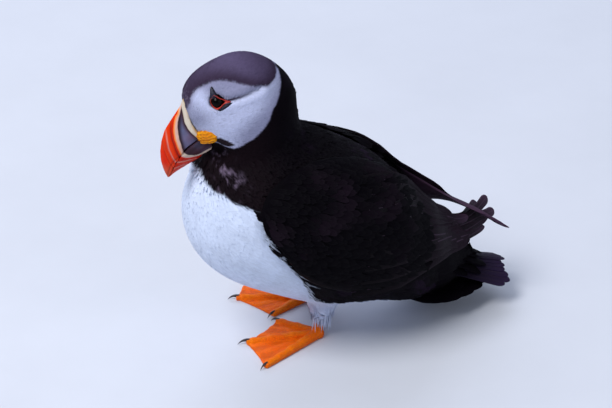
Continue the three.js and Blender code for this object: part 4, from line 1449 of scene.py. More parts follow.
def build_tail(context):
    sizes = context.scene.puffin_wings
    end = np.array(sizes.tail)
    rng = np.random.default_rng(SEED + 2)
    feathers = []
    order = sorted(range(TAIL_FEATHERS), key=lambda number: -abs(number - (TAIL_FEATHERS - 1) / 2))
    t = np.linspace(0, 1, 14)
    for layer, number in enumerate(order):
        share = 2 * number / (TAIL_FEATHERS - 1) - 1
        length = TAIL_LENGTH * (1 - 0.12 * share ** 2) * rng.uniform(0.94, 1.03)
        share = share + rng.normal(0, 0.025)
        across = share * (TAIL_SPREAD[0] + (TAIL_SPREAD[1] - TAIL_SPREAD[0]) * t)
        sag = -TAIL_ARCH * (share ** 2) * (0.6 + 0.4 * t) + 0.16 * layer
        drop = -1.2 * t ** 2
        spine = np.stack([across, TAIL_ROOT[1] + length * t * math.cos(TAIL_PITCH),
                          TAIL_ROOT[2] + length * t * math.sin(TAIL_PITCH) + sag + drop], 1)
        lean = -2 * TAIL_ARCH * share / TAIL_SPREAD[1] * 1.1
        up = np.tile(unit([-lean, 0.25, 1]), (QUILL_STATIONS, 1))
        half = (2.9, 3.9) if share < 0 else (3.9, 2.9)
        # The feathers lighten toward their tips to a violet that is painted sheen.
        feathers.append({"spine": spine, "up": up, "half": half, "tints": (end * 0.2, end), "tip": 0.13,
                         "late": 2.5})
    black = np.array(context.scene.puffin_plumage.back)
    cover = quills("tail_cover", tail_cover(black, rng), sizes.thickness / MM)
    finished(cover, bpy.data.materials["black plumage"], "plumage_black")
    piece = quills("tail_quills", feathers, sizes.thickness / MM)
    finish = plumage_material("tail feathers", 160.0, 0.35, colour(46, 34, 44), 0.5, 0.0, 0.3, 0.1)
    finished(piece, finish, "plumage_black", "tail")
    build_overlays(context, rng)


TAIL_COVERT_START = 66.0
EDGE_REACH = 11.0


def build_overlays(context, rng):
    """Longer feathers that close the joins: over the front and top of the wings, and over the tail's root."""
    coat = context.scene.puffin_coat
    skin = Surface(bpy.data.objects["skin"], "OFBake")
    finish = bpy.data.materials["black plumage"]
    centres = skin.points[skin.corners].mean(axis=1)
    facing = unit(skin.normals[skin.corners].mean(axis=1))
    black = even_tint(context.scene.puffin_plumage.back)
    hidden = under_wings(centres, facing)
    gap = np.full(len(centres), FAR)
    for hand in HANDS:
        wing = Wing(hand)
        border = np.vstack([wing.edge(wing.lower, np.linspace(0.16, 0, 6)),
                            wing.edge(wing.upper, np.linspace(0, 0.62, 30))])
        away, _ = distance_to(centres, border)
        gap = np.minimum(gap, away)
    dark = beyond_line(centres[:, 1:], BREAST_CURVE) > 0
    shoulder = (gap < EDGE_REACH) & ~hidden & dark
    over_tail = (centres[:, 1] > TAIL_COVERT_START) & ~hidden
    for name, chosen, length, slim, rise, lie in (
            ("shoulder_feathers", shoulder, coat.shoulder_length, 0.2, 3.6, plumage_lie),
            ("tail_coverts", over_tail, coat.tail_covert_length, 0.17, 4.2, tail_lie)):
        gaps = np.where(chosen, coat.shoulder_spacing / MM, np.nan)
        roots, triangle = scatter(skin, lambda _, gaps=gaps: gaps, rng)
        size = length / MM
        on_top = ramp(roots[:, 2], 92, 108) if name == "shoulder_feathers" else 0
        high = rise * rng.uniform(0.8, 1.0, len(roots)) * (1 - 0.62 * on_top)
        piece = vanes(name, skin, roots, triangle, lie, ROUND_VANE, (size, size * slim, high, 0.1), black,
                      rng, ragged=0.1, edge=0.004, unruly=0.14)
        finished(piece, finish, "plumage_black")


def tail_lie(points):
    return unit(np.stack([-0.006 * points[:, 0], np.ones(len(points)), np.full(len(points), -0.28)], 1))


# ---------------------------------------------------------------- bill
# Side views of the bill, as forward and up, from the culmen down.
RIM_FRONT = [(-1, 2), (1.2, -1), (4.3, -4), (6.5, -6.5), (8.8, -9.3), (10.2, -12.5), (10.8, -15.8),
             (10.9, -23)]
BAND_REAR = [(0, -1), (5.1, -3.9), (9.7, -6.1), (13, -7.9), (15.7, -10.5), (17.8, -13), (20.4, -17),
             (22.5, -20.5), (24.5, -25)]
BAND_FRONT = [(2, 1), (7.5, -3.8), (10.1, -4.6), (13.2, -6), (16.6, -8.3), (19.6, -11.4), (21.8, -14.8),
              (23.9, -18.9), (26, -24)]
GROOVE_1 = [(9, -1), (13.2, -4.3), (17.2, -7.1), (20.6, -10.6), (23, -14.4), (25.2, -18.6), (27, -24)]
GROOVE_2 = [(17, -3), (21.3, -7.6), (23.5, -10), (26.3, -13.4), (27.7, -16), (29.3, -19.6), (30.5, -24)]
GROOVE_3 = [(24, -6), (27.4, -10.8), (29.6, -14), (31.2, -17), (32.6, -20.4), (33.6, -24)]
LOW_SLATE = [(22.8, -17), (22.6, -21.5), (21.6, -25.1), (18.1, -29.5), (11.8, -30.6), (8, -30), (4, -29.2)]
LOW_RIM = [(25.6, -17), (25.4, -21), (24.4, -24.1), (22.1, -27.4), (19.1, -30.6), (15.4, -32.2),
           (10.8, -32.4), (8, -31.9), (4, -30.8)]
LOW_GROOVE_1 = [(22, -32), (24.6, -28.5), (27.4, -25.4), (29.7, -22.5), (31, -19)]
LOW_GROOVE_2 = [(28, -30), (30.5, -26.9), (32.4, -25.6), (34.2, -24.3), (37, -21)]
GAPE = [(6, -21.9), (11.7, -21.7), (17.2, -20.9), (21.6, -20.5), (25.4, -20.9), (29, -20.9), (33.7, -21.9),
        (39.4, -25.7), (43, -29)]
BILL_LINES = {"rim_rear": RIM_REAR, "rim_front": RIM_FRONT, "band_rear": BAND_REAR, "band_front": BAND_FRONT,
              "groove_1": GROOVE_1, "groove_2": GROOVE_2, "groove_3": GROOVE_3, "low_slate": LOW_SLATE,
              "low_rim": LOW_RIM, "low_groove_1": LOW_GROOVE_1, "low_groove_2": LOW_GROOVE_2, "gape": GAPE}
CORNER = (20, 10.4)  # where the rear of the lower half begins and ends, forward
RIM_BACK = 3.4
RIM_FLARE = 0.16
RIM_LIFT = 0.7
CORNER_BACK = 6.4
CORNER_FLARE = 0.55
CORNER_FLARE_LOW = 0.5
CORNER_DROP = 0.42


def bill_fields(points):
    """Distances ahead of each line of the bill, in side view."""
    side_view = in_head(points)[:, [0, 2]]
    return {name: beyond_line(side_view, smooth_line(line)) for name, line in BILL_LINES.items()}


def bump(distance, width):
    return np.exp(-(distance / width) ** 2)


def bill_relief(points, upper):
    """How far each point stands out for the ridges and in for the grooves."""
    field = bill_fields(points)
    low = in_head(points)[:, 2]
    if upper:
        rim = bump((field["rim_rear"] + field["rim_front"]) / 2, 1.5) * 0.7
        band = bump((field["band_rear"] + field["band_front"]) / 2, 1.1) * 0.45
        grooves = -0.32 * bump(field["groove_1"], 0.45) - 0.34 * bump(field["groove_2"], 0.45)
        grooves -= 0.3 * bump(field["groove_3"], 0.45)
        ridges = 0.16 * bump(field["groove_1"] - 1.9, 1.0) + 0.14 * bump(field["groove_2"] - 1.7, 0.9)
        slate = -0.35 * ramp(field["rim_front"], 0.2, 1.6) * ramp(field["band_rear"], -0.2, -1.6)
        edge = -0.3 * bump(field["gape"] + 0.1, 0.5)
        return rim + band + grooves + ridges + slate + edge
    rim = bump((field["low_slate"] + field["low_rim"]) / 2, 1.1) * 0.5
    grooves = -0.3 * bump(field["low_groove_1"], 0.45) - 0.3 * bump(field["low_groove_2"], 0.45)
    slate = -0.3 * ramp(-field["low_slate"], 0.2, 1.6)
    return rim + grooves + slate - 0.25 * bump(low - (-21.5), 0.6)


def bill_tint(points, upper, sizes):
    shades = shades_of(sizes)
    field = bill_fields(points)
    head = in_head(points)
    soft = value_noise(points, 1.6, 12) * 0.12
    cloud = value_noise(points, 4, 13)
    worn = ramp(np.linalg.norm(head - (38, 0, -25), axis=1), 9, 2)
    red = blend(shades["red"], shades["orange"], 0.25 + 0.2 * cloud)
    if upper:
        red = blend(red, shades["orange"], 0.75 * bump(field["groove_1"] - 1.9, 1.0))
        red = blend(red, shades["orange"], 0.55 * bump(field["groove_2"] - 1.9, 1.1))
        red = blend(red, shades["groove"], 0.85 * bump(field["groove_1"], 0.42))
        red = blend(red, shades["cream"], 0.45 * bump(field["groove_2"], 0.4))
        red = blend(red, shades["groove"], 0.4 * bump(field["groove_3"], 0.4))
        culmen = ramp(np.abs(head[:, 1]), 2.2, 0.6)
        red = blend(red, shades["orange"], 0.5 * culmen)
        tint = blend(red, shades["tip"], 0.6 * worn)
        cream = blend(shades["cream"], shades["amber"], ramp(field["band_front"], -1.3, -0.3))
        tint = blend(tint, cream, ramp(field["band_front"] + soft, 0.15, -0.15))
        within = ramp(np.minimum(field["rim_front"], -field["band_rear"]), 0.2, 2.8)
        slate = blend(shades["slate_dark"], shades["slate"], within * (0.75 + 0.25 * cloud))
        tint = blend(tint, slate, ramp(field["band_rear"] + soft, 0.15, -0.15))
        tint = blend(tint, shades["rim"], ramp(field["rim_front"] + soft, 0.2, -0.2))
        tint = blend(tint, shades["ochre"], ramp(field["rim_rear"], 1.5, 0.4))
        return blend(tint, shades["mouth"], 0.35 * bump(field["gape"], 0.35))
    red = blend(red, shades["cream"], 0.6 * bump(field["low_groove_1"], 0.42))
    red = blend(red, shades["cream"], 0.5 * bump(field["low_groove_2"], 0.42))
    tint = blend(red, shades["tip"], 0.5 * worn)
    tint = blend(tint, shades["cream"], ramp(field["low_rim"] + soft, 0.15, -0.2))
    tint = blend(tint, shades["rim"], 0.7 * ramp(field["low_rim"], -0.4, -1.2))
    slate = blend(shades["slate_dark"], shades["slate"], 0.1 + 0.15 * cloud)
    tint = blend(tint, slate, ramp(field["low_slate"] + soft, 0.2, -0.2))
    return blend(tint, shades["mouth"], 0.35 * bump(field["gape"], 0.4))


def store_grain(piece, vectors):
    attribute = piece.data.attributes.new("grain", "FLOAT_VECTOR", "POINT")
    attribute.data.foreach_set("vector", np.asarray(vectors, np.float32).ravel())


def build_bill(context):
    sizes = context.scene.puffin_bill
    inputs = {"Cloud Tint": rgba(colour(206, 78, 30)), "Clouds": 0.08, "Grain": True, "Roughness": 0.3}
    finish = finish_material("bill horn", "Horn", inputs, 0.35, coat=0.02, specular=0.1)
    for half in ("upper", "lower"):
        node = "bill_" + half
        piece = fused(node + "_horn", [bare_copy(node, 0.05)], sizes.grain / MM, 5)
        points = coordinates(piece)
        head = in_head(points)
        if half == "upper":
            share = ramp(head[:, 0], 13, 3.5) * ramp(head[:, 2], -13, -5)
            head[:, 0] -= RIM_BACK * share
            head[:, 1] *= 1 + RIM_FLARE * ramp(head[:, 0], 9, 3)
            head[:, 2] += RIM_LIFT * share
        else:
            share = np.clip((CORNER[0] - head[:, 0]) / (CORNER[0] - CORNER[1]), 0, 1) ** 1.5
            low = ramp(head[:, 2], -24, -30)
            head[:, 1] *= 1 + (CORNER_FLARE + CORNER_FLARE_LOW * low) * share
            head[:, 2] += (head[:, 2] + 22) * CORNER_DROP * share
            head[:, 0] -= CORNER_BACK * share
        points = from_head(head)
        place_vertices(piece, points)
        relief = bill_relief(points, half == "upper")
        head = in_head(points)
        flank = ramp(np.abs(head[:, 1]), 0.4, 1.6) * 0.85 + 0.15
        place_vertices(piece, points + normals(piece) * (relief * flank)[:, None])
        paint(piece, bill_tint(points, half == "upper", sizes))
        field = bill_fields(points)
        growth = field["band_front" if half == "upper" else "low_rim"]
        store_grain(piece, np.stack([head[:, 1] * 0.2, growth, head[:, 2] * 0.1], 1) * MM)
        unwrap(piece)
        finished(piece, finish, "bill_horn", node)


# ---------------------------------------------------------------- eyes and rosettes
def pillow(outline, rise, depth, rings=7):
    """Points and faces of a closed cushion over an outline in the plane, as along, up and out."""
    outline = np.asarray(outline, float)
    middle = outline.mean(axis=0)
    levels = [(1.0, -depth)]
    levels += [(math.cos(turn), rise * math.sin(turn)) for turn in np.linspace(0, 0.5 * math.pi, rings)[:-1]]
    points = [np.column_stack([middle + (outline - middle) * share, np.full(len(outline), height)])
              for share, height in levels]
    points.append(np.array([[*middle, rise]]))
    points.append(np.array([[*middle, -depth]]))
    count = len(outline)
    faces = []
    for level in range(len(levels) - 1):
        for i in range(count):
            j = (i + 1) % count
            a, b = level * count, (level + 1) * count
            faces.append((a + i, a + j, b + j, b + i))
    top, bottom = len(levels) * count, len(levels) * count + 1
    last = (len(levels) - 1) * count
    caps = [(last + i, last + (i + 1) % count, top) for i in range(count)]
    caps += [((i + 1) % count, i, bottom) for i in range(count)]
    return np.vstack(points), faces + caps


def loop_line(points, steps=6):
    """A smooth closed line through the given points."""
    points = np.asarray(points, float)
    around = np.vstack([points[-1:], points, points[:2]])
    line = smooth_line(around, steps)
    return line[steps:-(steps + 1)]


def any_faces_piece(name, points, faces):
    """A piece from points in the bird's frame and faces of any size, with its normals out."""
    mesh = bpy.data.meshes.new(name)
    mesh.from_pydata(to_row(points).tolist(), [], [list(map(int, face)) for face in faces])
    piece = bpy.data.objects.new(name, mesh)
    bpy.context.scene.collection.objects.link(piece)
    unwrap(piece, margin=0.004, turn_out=True)
    return piece


# Outlines round the eye, from the middle of its ring: forward and up.
RING_INNER = [(1.5, 1.75), (2.35, 0.2), (2.1, -1.6), (0.7, -2.5), (-1.3, -2.35), (-2.85, -1.35), (-2.3, 0.5),
              (-1.4, 2.1), (0.2, 2.45)]
RING_OUTER = [(1.7, 2.9), (3.1, 0.8), (3.35, -1.6), (2.7, -3.2), (0.4, -3.5), (-2.4, -3.45), (-5.6, -4.95),
              (-3.8, -1.6), (-2.8, 1.0), (-2.7, 3.6), (-0.4, 3.2)]
RING_THINNED = 0.3
RING_POINTS = 60
UPPER_PLATE = [(-3.4, 6.8), (-4.3, 6.5), (-3.9, 4.6), (-2.9, 2.2), (-1.5, 1.5), (0.6, 2.2), (1.5, 2.7),
               (0.1, 4.0)]
LOWER_PLATE = [(2.7, -2.9), (2.4, -4.3), (0.4, -5.1), (-2, -5.6), (-4.6, -6.1), (-6.4, -6), (-4.4, -4.7),
               (-1.6, -3.7), (0.8, -3.4)]


def ring_place(hand):
    """A function from forward, up and out of the ring's plane to the bird's frame."""
    middle, outward = eye_place(hand)
    centre = in_head(middle) + EYE_OUTWARD * (1, HANDS[hand], 1) * RING_RISE
    out = EYE_OUTWARD

    def place(local):
        forward, up, height = np.asarray(local, float).T
        lean = -(out[0] * forward + out[2] * up) / out[1]
        flat = np.stack([centre[0] + forward, centre[1] + HANDS[hand] * lean, centre[2] + up], 1)
        return from_head(flat) + outward * height[:, None]

    return place


def ball_fall(local):
    """How far the head falls away from the ring's plane, as it rounds off."""
    return -0.028 * (local[:, 0] ** 2 + local[:, 1] ** 2)


def build_eyes(context):
    sizes = context.scene.puffin_eyes
    shades = shades_of(sizes)
    gloss = bpy.data.materials.new("eyeball")
    gloss.use_nodes = True
    graph = Graph(gloss.node_tree)
    shader = gloss.node_tree.nodes["Principled BSDF"]
    where = graph.add("TexCoord").outputs["Object"]
    rays = graph.between(graph.noise(where, 2600.0, 3.0), 0.3, 0.7, 0.7, 1.25)
    tint = graph.add("Attribute", attribute_name="tint").outputs["Color"]
    graph.join(graph.shaded(tint, rays), shader.inputs["Base Color"])
    graph.join(graph.between(graph.noise(where, 900.0), 0.3, 0.7, 0.03, 0.07), shader.inputs["Roughness"])
    shader.inputs["Coat Weight"].default_value = 0.04
    shader.inputs["Coat Roughness"].default_value = 0.02
    shader.inputs["Specular IOR Level"].default_value = 0.05
    ring_inputs = {"Second Tint": rgba(colour(150, 26, 14)), "Seam Tint": rgba(colour(110, 22, 12)),
                   "Scale": 1500.0}
    ring_finish = finish_material("eye ring", "Scaly skin", ring_inputs, 0.4, coat=0.15)
    plate_inputs = {"Cloud Tint": rgba(sizes.plate_dark), "Clouds": 0.5, "Grain": True, "Roughness": 0.36}
    plate_finish = finish_material("eye plates", "Horn", plate_inputs, 0.4, coat=0.04, specular=0.15)
    for hand in HANDS:
        middle, outward = eye_place(hand)
        place = ring_place(hand)
        select_only(bpy.data.objects["skin"])
        bpy.ops.mesh.primitive_uv_sphere_add(segments=64, ring_count=40, radius=sizes.radius)
        ball = context.active_object
        ball.name = "eyeball_" + hand
        flat = np.empty(len(ball.data.vertices) * 3)
        ball.data.vertices.foreach_get("co", flat)
        shape = flat.reshape(-1, 3) / MM
        turn = np.array(Vector((0, 0, 1)).rotation_difference(Vector(outward)).to_matrix())
        off_axis = np.arctan2(np.hypot(shape[:, 0], shape[:, 1]), shape[:, 2]) / DEGREE
        shape = shape * (1 + 0.035 * ramp(off_axis, 32, 10))[:, None]
        place_vertices(ball, shape @ turn.T + middle)
        tints = blend(shades["pupil"], shades["iris"], ramp(off_axis, 21, 24))
        paint(ball, blend(tints, shades["pupil"], ramp(off_axis, 33, 38)))
        unwrap(ball)
        finished(ball, gloss, "eye", "eye_" + hand)

        inner, outer = (resampled_loop(loop_line(line), RING_POINTS) for line in (RING_INNER, RING_OUTER))
        inner = inner + (outer - inner) * RING_THINNED
        profile = [(0.0, -1.4), (0.0, 0.2), (0.14, 0.75), (0.4, 1.0), (0.72, 0.72), (0.95, 0.15), (1.0, -0.9)]
        rows = []
        for share, height in profile:
            flat = inner + (outer - inner) * share
            fold = 0.12 * np.sin(np.arange(RING_POINTS) * 1.9) * (0 < share < 1)
            rows.append(np.column_stack([flat, height + fold + ball_fall(flat)]))
        local = np.vstack(rows)
        points = place(local)
        grid = np.arange(len(profile) * RING_POINTS).reshape(len(profile), RING_POINTS)
        across = np.roll(grid, -1, axis=1)
        faces = np.stack([grid[:-1], across[:-1], across[1:], grid[1:]], -1).reshape(-1, 4)
        closing = np.stack([grid[-1], across[-1], across[0], grid[0]], -1)
        ring = any_faces_piece("eye_ring_skin_" + hand, points, np.vstack([faces, closing]))
        paint(ring, blend(shades["ring"], shades["plate_dark"], 0.85 * ramp(local[:, 1], 0.6, 2.2)))
        finished(ring, ring_finish, "eye_ring_skin", "eye_ring_" + hand)

        shapes, cells, tints = [], [], []
        for outline in (UPPER_PLATE, LOWER_PLATE):
            outline = resampled_loop(loop_line(outline), 36)
            local, plate_faces = pillow(outline, 0.75, 1.4)
            local[:, 2] += 0.25 + ball_fall(local)
            base = sum(len(shape) for shape in shapes)
            cells += [tuple(base + corner for corner in face) for face in plate_faces]
            gap, _ = distance_to(local[:, :2], np.vstack([outline, outline[:1]]))
            tints.append(blend(shades["plate_dark"], shades["plate"], ramp(gap, 0.1, 0.7)))
            shapes.append(local)
        local = np.vstack(shapes)
        plates = any_faces_piece("eye_plates_" + hand, place(local), cells)
        paint(plates, np.vstack(tints))
        store_grain(plates, local * (0.3, 1, 0.3) * MM)
        finished(plates, plate_finish, "eye_ring_skin")


def resampled_loop(line, count):
    """Evenly spaced points round a closed line, from its first point."""
    closed = np.vstack([line, line[:1]])
    steps = np.concatenate([[0], np.cumsum(np.linalg.norm(np.diff(closed, axis=0), axis=1))])
    at = np.arange(count) / count * steps[-1]
    return np.stack([np.interp(at, steps, closed[:, axis]) for axis in range(closed.shape[1])], 1)


# The rosette's outline: forward, side and up on the left of the head.
ROSETTE = [(9.4, 7.4, -18.3), (5.1, 12.1, -17.4), (3, 15.1, -19.6), (2.4, 16.6, -22.4), (2.9, 16.4, -24.6),
           (5.8, 14.3, -26.2), (9.5, 9.5, -25.6), (12.2, 7.1, -22.8)]
ROSETTE_POINTS = 72


def build_rosettes(context):
    sizes = context.scene.puffin_bill
    bright, fold = np.array(sizes.rosette), np.array(sizes.rosette_fold)
    inputs = {"Second Tint": rgba(colour(222, 130, 10)), "Seam Tint": rgba(fold), "Scale": 1300.0,
              "Roughness": 0.42}
    finish = finish_material("rosette skin", "Scaly skin", inputs, 0.5, coat=0.02, specular=0.15)
    line = np.array(ROSETTE)
    middle = line.mean(axis=0)
    _, _, axes = np.linalg.svd(line - middle)
    out = axes[2] * np.sign(axes[2][1])
    across_cheek = np.array([-0.62, 0.75, -0.2])
    along = unit(across_cheek - out * (across_cheek @ out))
    up = np.cross(out, along)
    up *= np.sign(up[2])
    flat = np.stack([(line - middle) @ along, (line - middle) @ up], 1)
    outline = resampled_loop(loop_line(flat, 8), ROSETTE_POINTS)
    number = np.arange(ROSETTE_POINTS)
    outline *= (1 + 0.035 * np.sin(number * 0.9) + 0.03 * np.sin(number * 0.37))[:, None]
    local, faces = pillow(outline, 2.1, 2.2, rings=18)
    reach = np.linalg.norm(local[:, :2], axis=1)
    turn = np.arctan2(local[:, 1], local[:, 0])
    raised = local[:, 2] > -1
    folds = np.sin(local[:, 1] * 3.6 + 0.7 * np.sin(local[:, 0] * 1.3)) * 0.22
    folds = folds + 0.16 * np.sin(turn * 9 + reach) * ramp(reach, 1, 3)
    lip = -0.35 * np.exp(-((local[:, 1] + 0.3) / 0.45) ** 2) * ramp(local[:, 0], 4.5, 1)
    local[:, 2] += np.where(raised, folds + lip, 0) * ramp(local[:, 2], -0.2, 0.8)
    for hand in HANDS:
        head = middle + local[:, :1] * along + local[:, 1:2] * up + local[:, 2:] * out
        head[:, 1] *= HANDS[hand]
        piece = any_faces_piece("rosette_skin_" + hand, from_head(head), faces)
        # Painted shade in the hollows of the folds and under the lip: the lower the surface there, the more
        # of the fold colour.
        shade = ramp(folds + lip * 1.2, 0.1, -0.3) * 0.85
        paint(piece, blend(bright, fold, shade))
        finished(piece, finish, "rosette_skin", "rosette_" + hand)


# ---------------------------------------------------------------- feet and claws
# Heel on the floor and turn of the middle toe outward, in degrees; then length and spread of each toe.
STANDS = {"left": ((11.0, 2.0), -11), "right": ((-31.0, 12.0), 21)}
TOES = {"inner": (29.0, -43), "middle": (43.0, 0), "outer": (46.0, 37)}
KNUCKLES = {"inner": (0.5, 0.86), "middle": (0.36, 0.66, 0.9), "outer": (0.3, 0.52, 0.73, 0.91)}


def toe_line(hand, toe):
    heel, turn = STANDS[hand]
    length, spread = TOES[toe]
    angle = (turn + spread) * DEGREE
    way = np.array([HANDS[hand] * math.sin(angle), -math.cos(angle)])
    return np.array(heel), way, length


def foot_relief(points, normal, hand):
    """Knuckles along the toes and slack folds in the webs, upward on the top faces."""
    flat = points[:, :2]
    lift = np.zeros(len(points))
    near_toe = np.full(len(points), FAR)
    for toe in TOES:
        heel, way, length = toe_line(hand, toe)
        offset = flat - heel
        along = offset @ way
        off = offset[:, 0] * way[1] - offset[:, 1] * way[0]
        near_toe = np.minimum(near_toe, np.where(along > -2, np.abs(off), np.hypot(*offset.T)))
        for knuckle in KNUCKLES[toe]:
            lift += 0.55 * np.exp(-((along - knuckle * length) / 1.9) ** 2 - (off / 2.4) ** 2)
        lift += 0.09 * np.cos(along * 2 * math.pi / 1.15) * np.exp(-(off / 1.8) ** 2)
    heel = np.array(STANDS[hand][0])
    offset = flat - heel
    reach = np.hypot(*offset.T)
    angle = np.arctan2(*offset.T)
    web = ramp(near_toe, 1.6, 4.5)
    lift += web * (0.32 * np.sin(angle * 23 + 0.05 * reach) * ramp(reach, 8, 26)
                   + 0.3 * value_noise(points, 6, 21) + 0.14 * value_noise(points, 2.2, 22))
    top = ramp(normal[:, 2], 0.1, 0.6) * ramp(points[:, 2], 14, 7)
    leg = ramp(points[:, 2], 5, 8) * 0.12 * np.cos(points[:, 2] * 2 * math.pi / 1.3)
    return lift * top + leg, near_toe


def build_feet(context):
    sizes = context.scene.puffin_feet
    shades = shades_of(sizes)
    inputs = {"Second Tint": rgba(sizes.orange_deep), "Seam Tint": rgba(sizes.seam), "Scale": 900.0,
              "Roughness": 0.36}
    finish = finish_material("foot skin", "Scaly skin", inputs, 0.6, coat=0.02, specular=0.14)
    for hand in HANDS:
        nodes = ["foot_" + hand, "tarsus_" + hand]
        piece = fused("foot_skin_" + hand, [bare_copy(node, 0.12) for node in nodes], sizes.grain / MM, 6)
        points, normal = coordinates(piece), normals(piece)
        lift, near_toe = foot_relief(points, normal, hand)
        points = points + normal * lift[:, None]
        points[:, 2] = np.maximum(points[:, 2], 0)
        place_vertices(piece, points)
        # Painted shade in the hollows between the knuckles and in the troughs of the webs' folds.
        folds = ramp(lift, 0.12, -0.2)
        tint = blend(shades["orange"], shades["orange_deep"], ramp(near_toe, 1, 4) * 0.6)
        paint(piece, blend(tint, shades["seam"], 0.45 * folds))
        unwrap(piece)
        finished(piece, finish, "foot_skin", *nodes)


CLAW_ROWS = 22
CLAW_SIDES = 20


def build_claws(context):
    sizes = context.scene.puffin_feet
    root, tip = np.array(sizes.claw), np.array(sizes.claw_tip)
    inputs = {"Cloud Tint": rgba(tip), "Clouds": 0.3, "Grain": True, "Roughness": 0.3}
    finish = finish_material("claw horn", "Horn", inputs, 0.35, coat=0.3)
    around = np.arange(CLAW_SIDES) / CLAW_SIDES * 2 * math.pi
    for hand in HANDS:
        points, faces, grain, tints = [], [], [], []
        for toe in TOES:
            heel, way, length = toe_line(hand, toe)
            reach = 6.8 if toe == "middle" else 5.6
            t = np.linspace(0, 1, CLAW_ROWS)
            ahead = length - 1.6 + reach * t
            height = 2.3 + 0.9 * np.sin(t * math.pi * 0.75) - 2.75 * t ** 2.2
            radius = np.maximum(1.3 * (1 - t) ** 0.75, 0.1)
            spine = np.column_stack([heel + way * ahead[:, None], np.maximum(height, radius * 0.6 + 0.02)])
            forward = unit(np.gradient(spine, axis=0))
            side = np.tile([way[1], -way[0], 0], (CLAW_ROWS, 1))
            up = np.cross(side, forward)
            up *= np.sign(up[:, 2:] + 1e-9)
            across = np.cos(around)[None] * radius[:, None] * 0.72
            over = np.sin(around)[None] * radius[:, None]
            loops = spine[:, None] + side[:, None] * across[..., None] + up[:, None] * over[..., None]
            base = sum(len(part) for part in points)
            grid = base + np.arange(CLAW_ROWS * CLAW_SIDES).reshape(CLAW_ROWS, CLAW_SIDES)
            turn = np.roll(grid, -1, axis=1)
            faces += np.stack([grid[:-1], turn[:-1], turn[1:], grid[1:]], -1).reshape(-1, 4).tolist()
            faces += [grid[0].tolist(), grid[-1][::-1].tolist()]
            points.append(loops.reshape(-1, 3))
            lengthways = np.repeat(t * reach, CLAW_SIDES)
            grain.append(np.column_stack([np.tile(around, CLAW_ROWS), lengthways, lengthways * 0]) * MM)
            tints.append(np.repeat(blend(root, tip, t ** 2), CLAW_SIDES, axis=0))
        shape = np.vstack(points)
        shape[:, 2] = np.maximum(shape[:, 2], 0)
        piece = any_faces_piece("claws_" + hand, shape, faces)
        store_grain(piece, np.vstack(grain))
        paint(piece, np.vstack(tints))
        finished(piece, finish, "claw_horn", *(f"claw_{hand}_{toe}" for toe in TOES))


# ---------------------------------------------------------------- stage
def soft_light(name, place, target, size, power, tint):
    light = bpy.data.lights.new(name, "AREA")
    light.shape = "DISK"
    light.size = size
    light.energy = power
    light.color = tuple(tint)
    lamp = bpy.data.objects.new(name, light)
    bpy.context.scene.collection.objects.link(lamp)
    lamp.location = place
    lamp.rotation_euler = (Vector(target) - Vector(place)).to_track_quat("-Z", "Y").to_euler()


def floor_material(shade):
    material = bpy.data.materials.new("plain floor")
    material.use_nodes = True
    graph = Graph(material.node_tree)
    shader = material.node_tree.nodes["Principled BSDF"]
    where = graph.add("TexCoord").outputs["Object"]
    cloud = graph.noise(where, 9.0, 4.0, 0.6)
    darker = tuple(value * 0.95 for value in shade)
    tint = graph.mix(graph.between(cloud, 0.3, 0.7), rgba(shade), rgba(darker))
    graph.join(tint, shader.inputs["Base Color"])
    shader.inputs["Roughness"].default_value = 0.85
    shader.inputs["Specular IOR Level"].default_value = 0.2
    return material


def build_stage(context):
    sizes = context.scene.puffin_stage
    select_only(bpy.data.objects["skin"])
    bpy.ops.mesh.primitive_plane_add(size=sizes.floor_size, location=(0, 0, 0))
    floor = context.active_object
    floor.name = "floor"
    floor.data.materials.append(floor_material(sizes.floor))

    world = bpy.data.worlds.new("soft sky")
    world.use_nodes = True
    world.node_tree.nodes["Background"].inputs[0].default_value = rgba(sizes.sky)
    world.node_tree.nodes["Background"].inputs[1].default_value = 0.5
    context.scene.world = world
    middle = (0, -0.02, 0.09)
    soft_light("key light", (0.5, -1.5, 2.2), middle, 1.4, 66, colour(252, 252, 255))
    soft_light("far light", (-1.6, 0.3, 1.6), middle, 1.6, 22, colour(226, 234, 255))
    soft_light("near light", (1.8, 0.9, 0.9), middle, 1.6, 6, colour(236, 240, 255))

    turn, height = sizes.azimuth, sizes.elevation
    back = Vector((math.sin(turn) * math.cos(height), -math.cos(turn) * math.cos(height), math.sin(height)))
    right = Vector((math.cos(turn), math.sin(turn), 0))
    up = back.cross(right)
    camera_data = bpy.data.cameras.new("camera")
    camera_data.sensor_width = 36
    camera_data.lens = sizes.lens
    camera_data.clip_start = 0.05
    camera_data.clip_end = 50
    camera = bpy.data.objects.new("camera", camera_data)
    context.scene.collection.objects.link(camera)
    camera.location = Vector(HEELS) + back * sizes.distance
    ahead = -back + up * math.tan(sizes.aim_up) + right * math.tan(sizes.aim_right)
    camera.rotation_euler = ahead.to_track_quat("-Z", "Y").to_euler()
    context.scene.camera = camera
    context.scene.view_settings.view_transform = "Standard"


# ---------------------------------------------------------------- tools and panel
class PuffinMake:
    """What every tool here shares"""

    bl_options = {"REGISTER", "UNDO"}
    build = None

    def execute(self, context):
        type(self).build(context)
        return {"FINISHED"}


class PUFFIN_OT_skin(PuffinMake, bpy.types.Operator):
    """Make the skin under the plumage"""

    bl_idname = "puffin.skin"
    bl_label = "Skin"
    build = staticmethod(build_skin)


class PUFFIN_OT_coat(PuffinMake, bpy.types.Operator):
    """Lay the small feathers over the skin"""

    bl_idname = "puffin.coat"
    bl_label = "Small feathers"
    build = staticmethod(build_coat)


class PUFFIN_OT_wings(PuffinMake, bpy.types.Operator):
    """Lay the coverts and the long feathers of the wings"""

    bl_idname = "puffin.wings"
    bl_label = "Wings"
    build = staticmethod(build_wings)


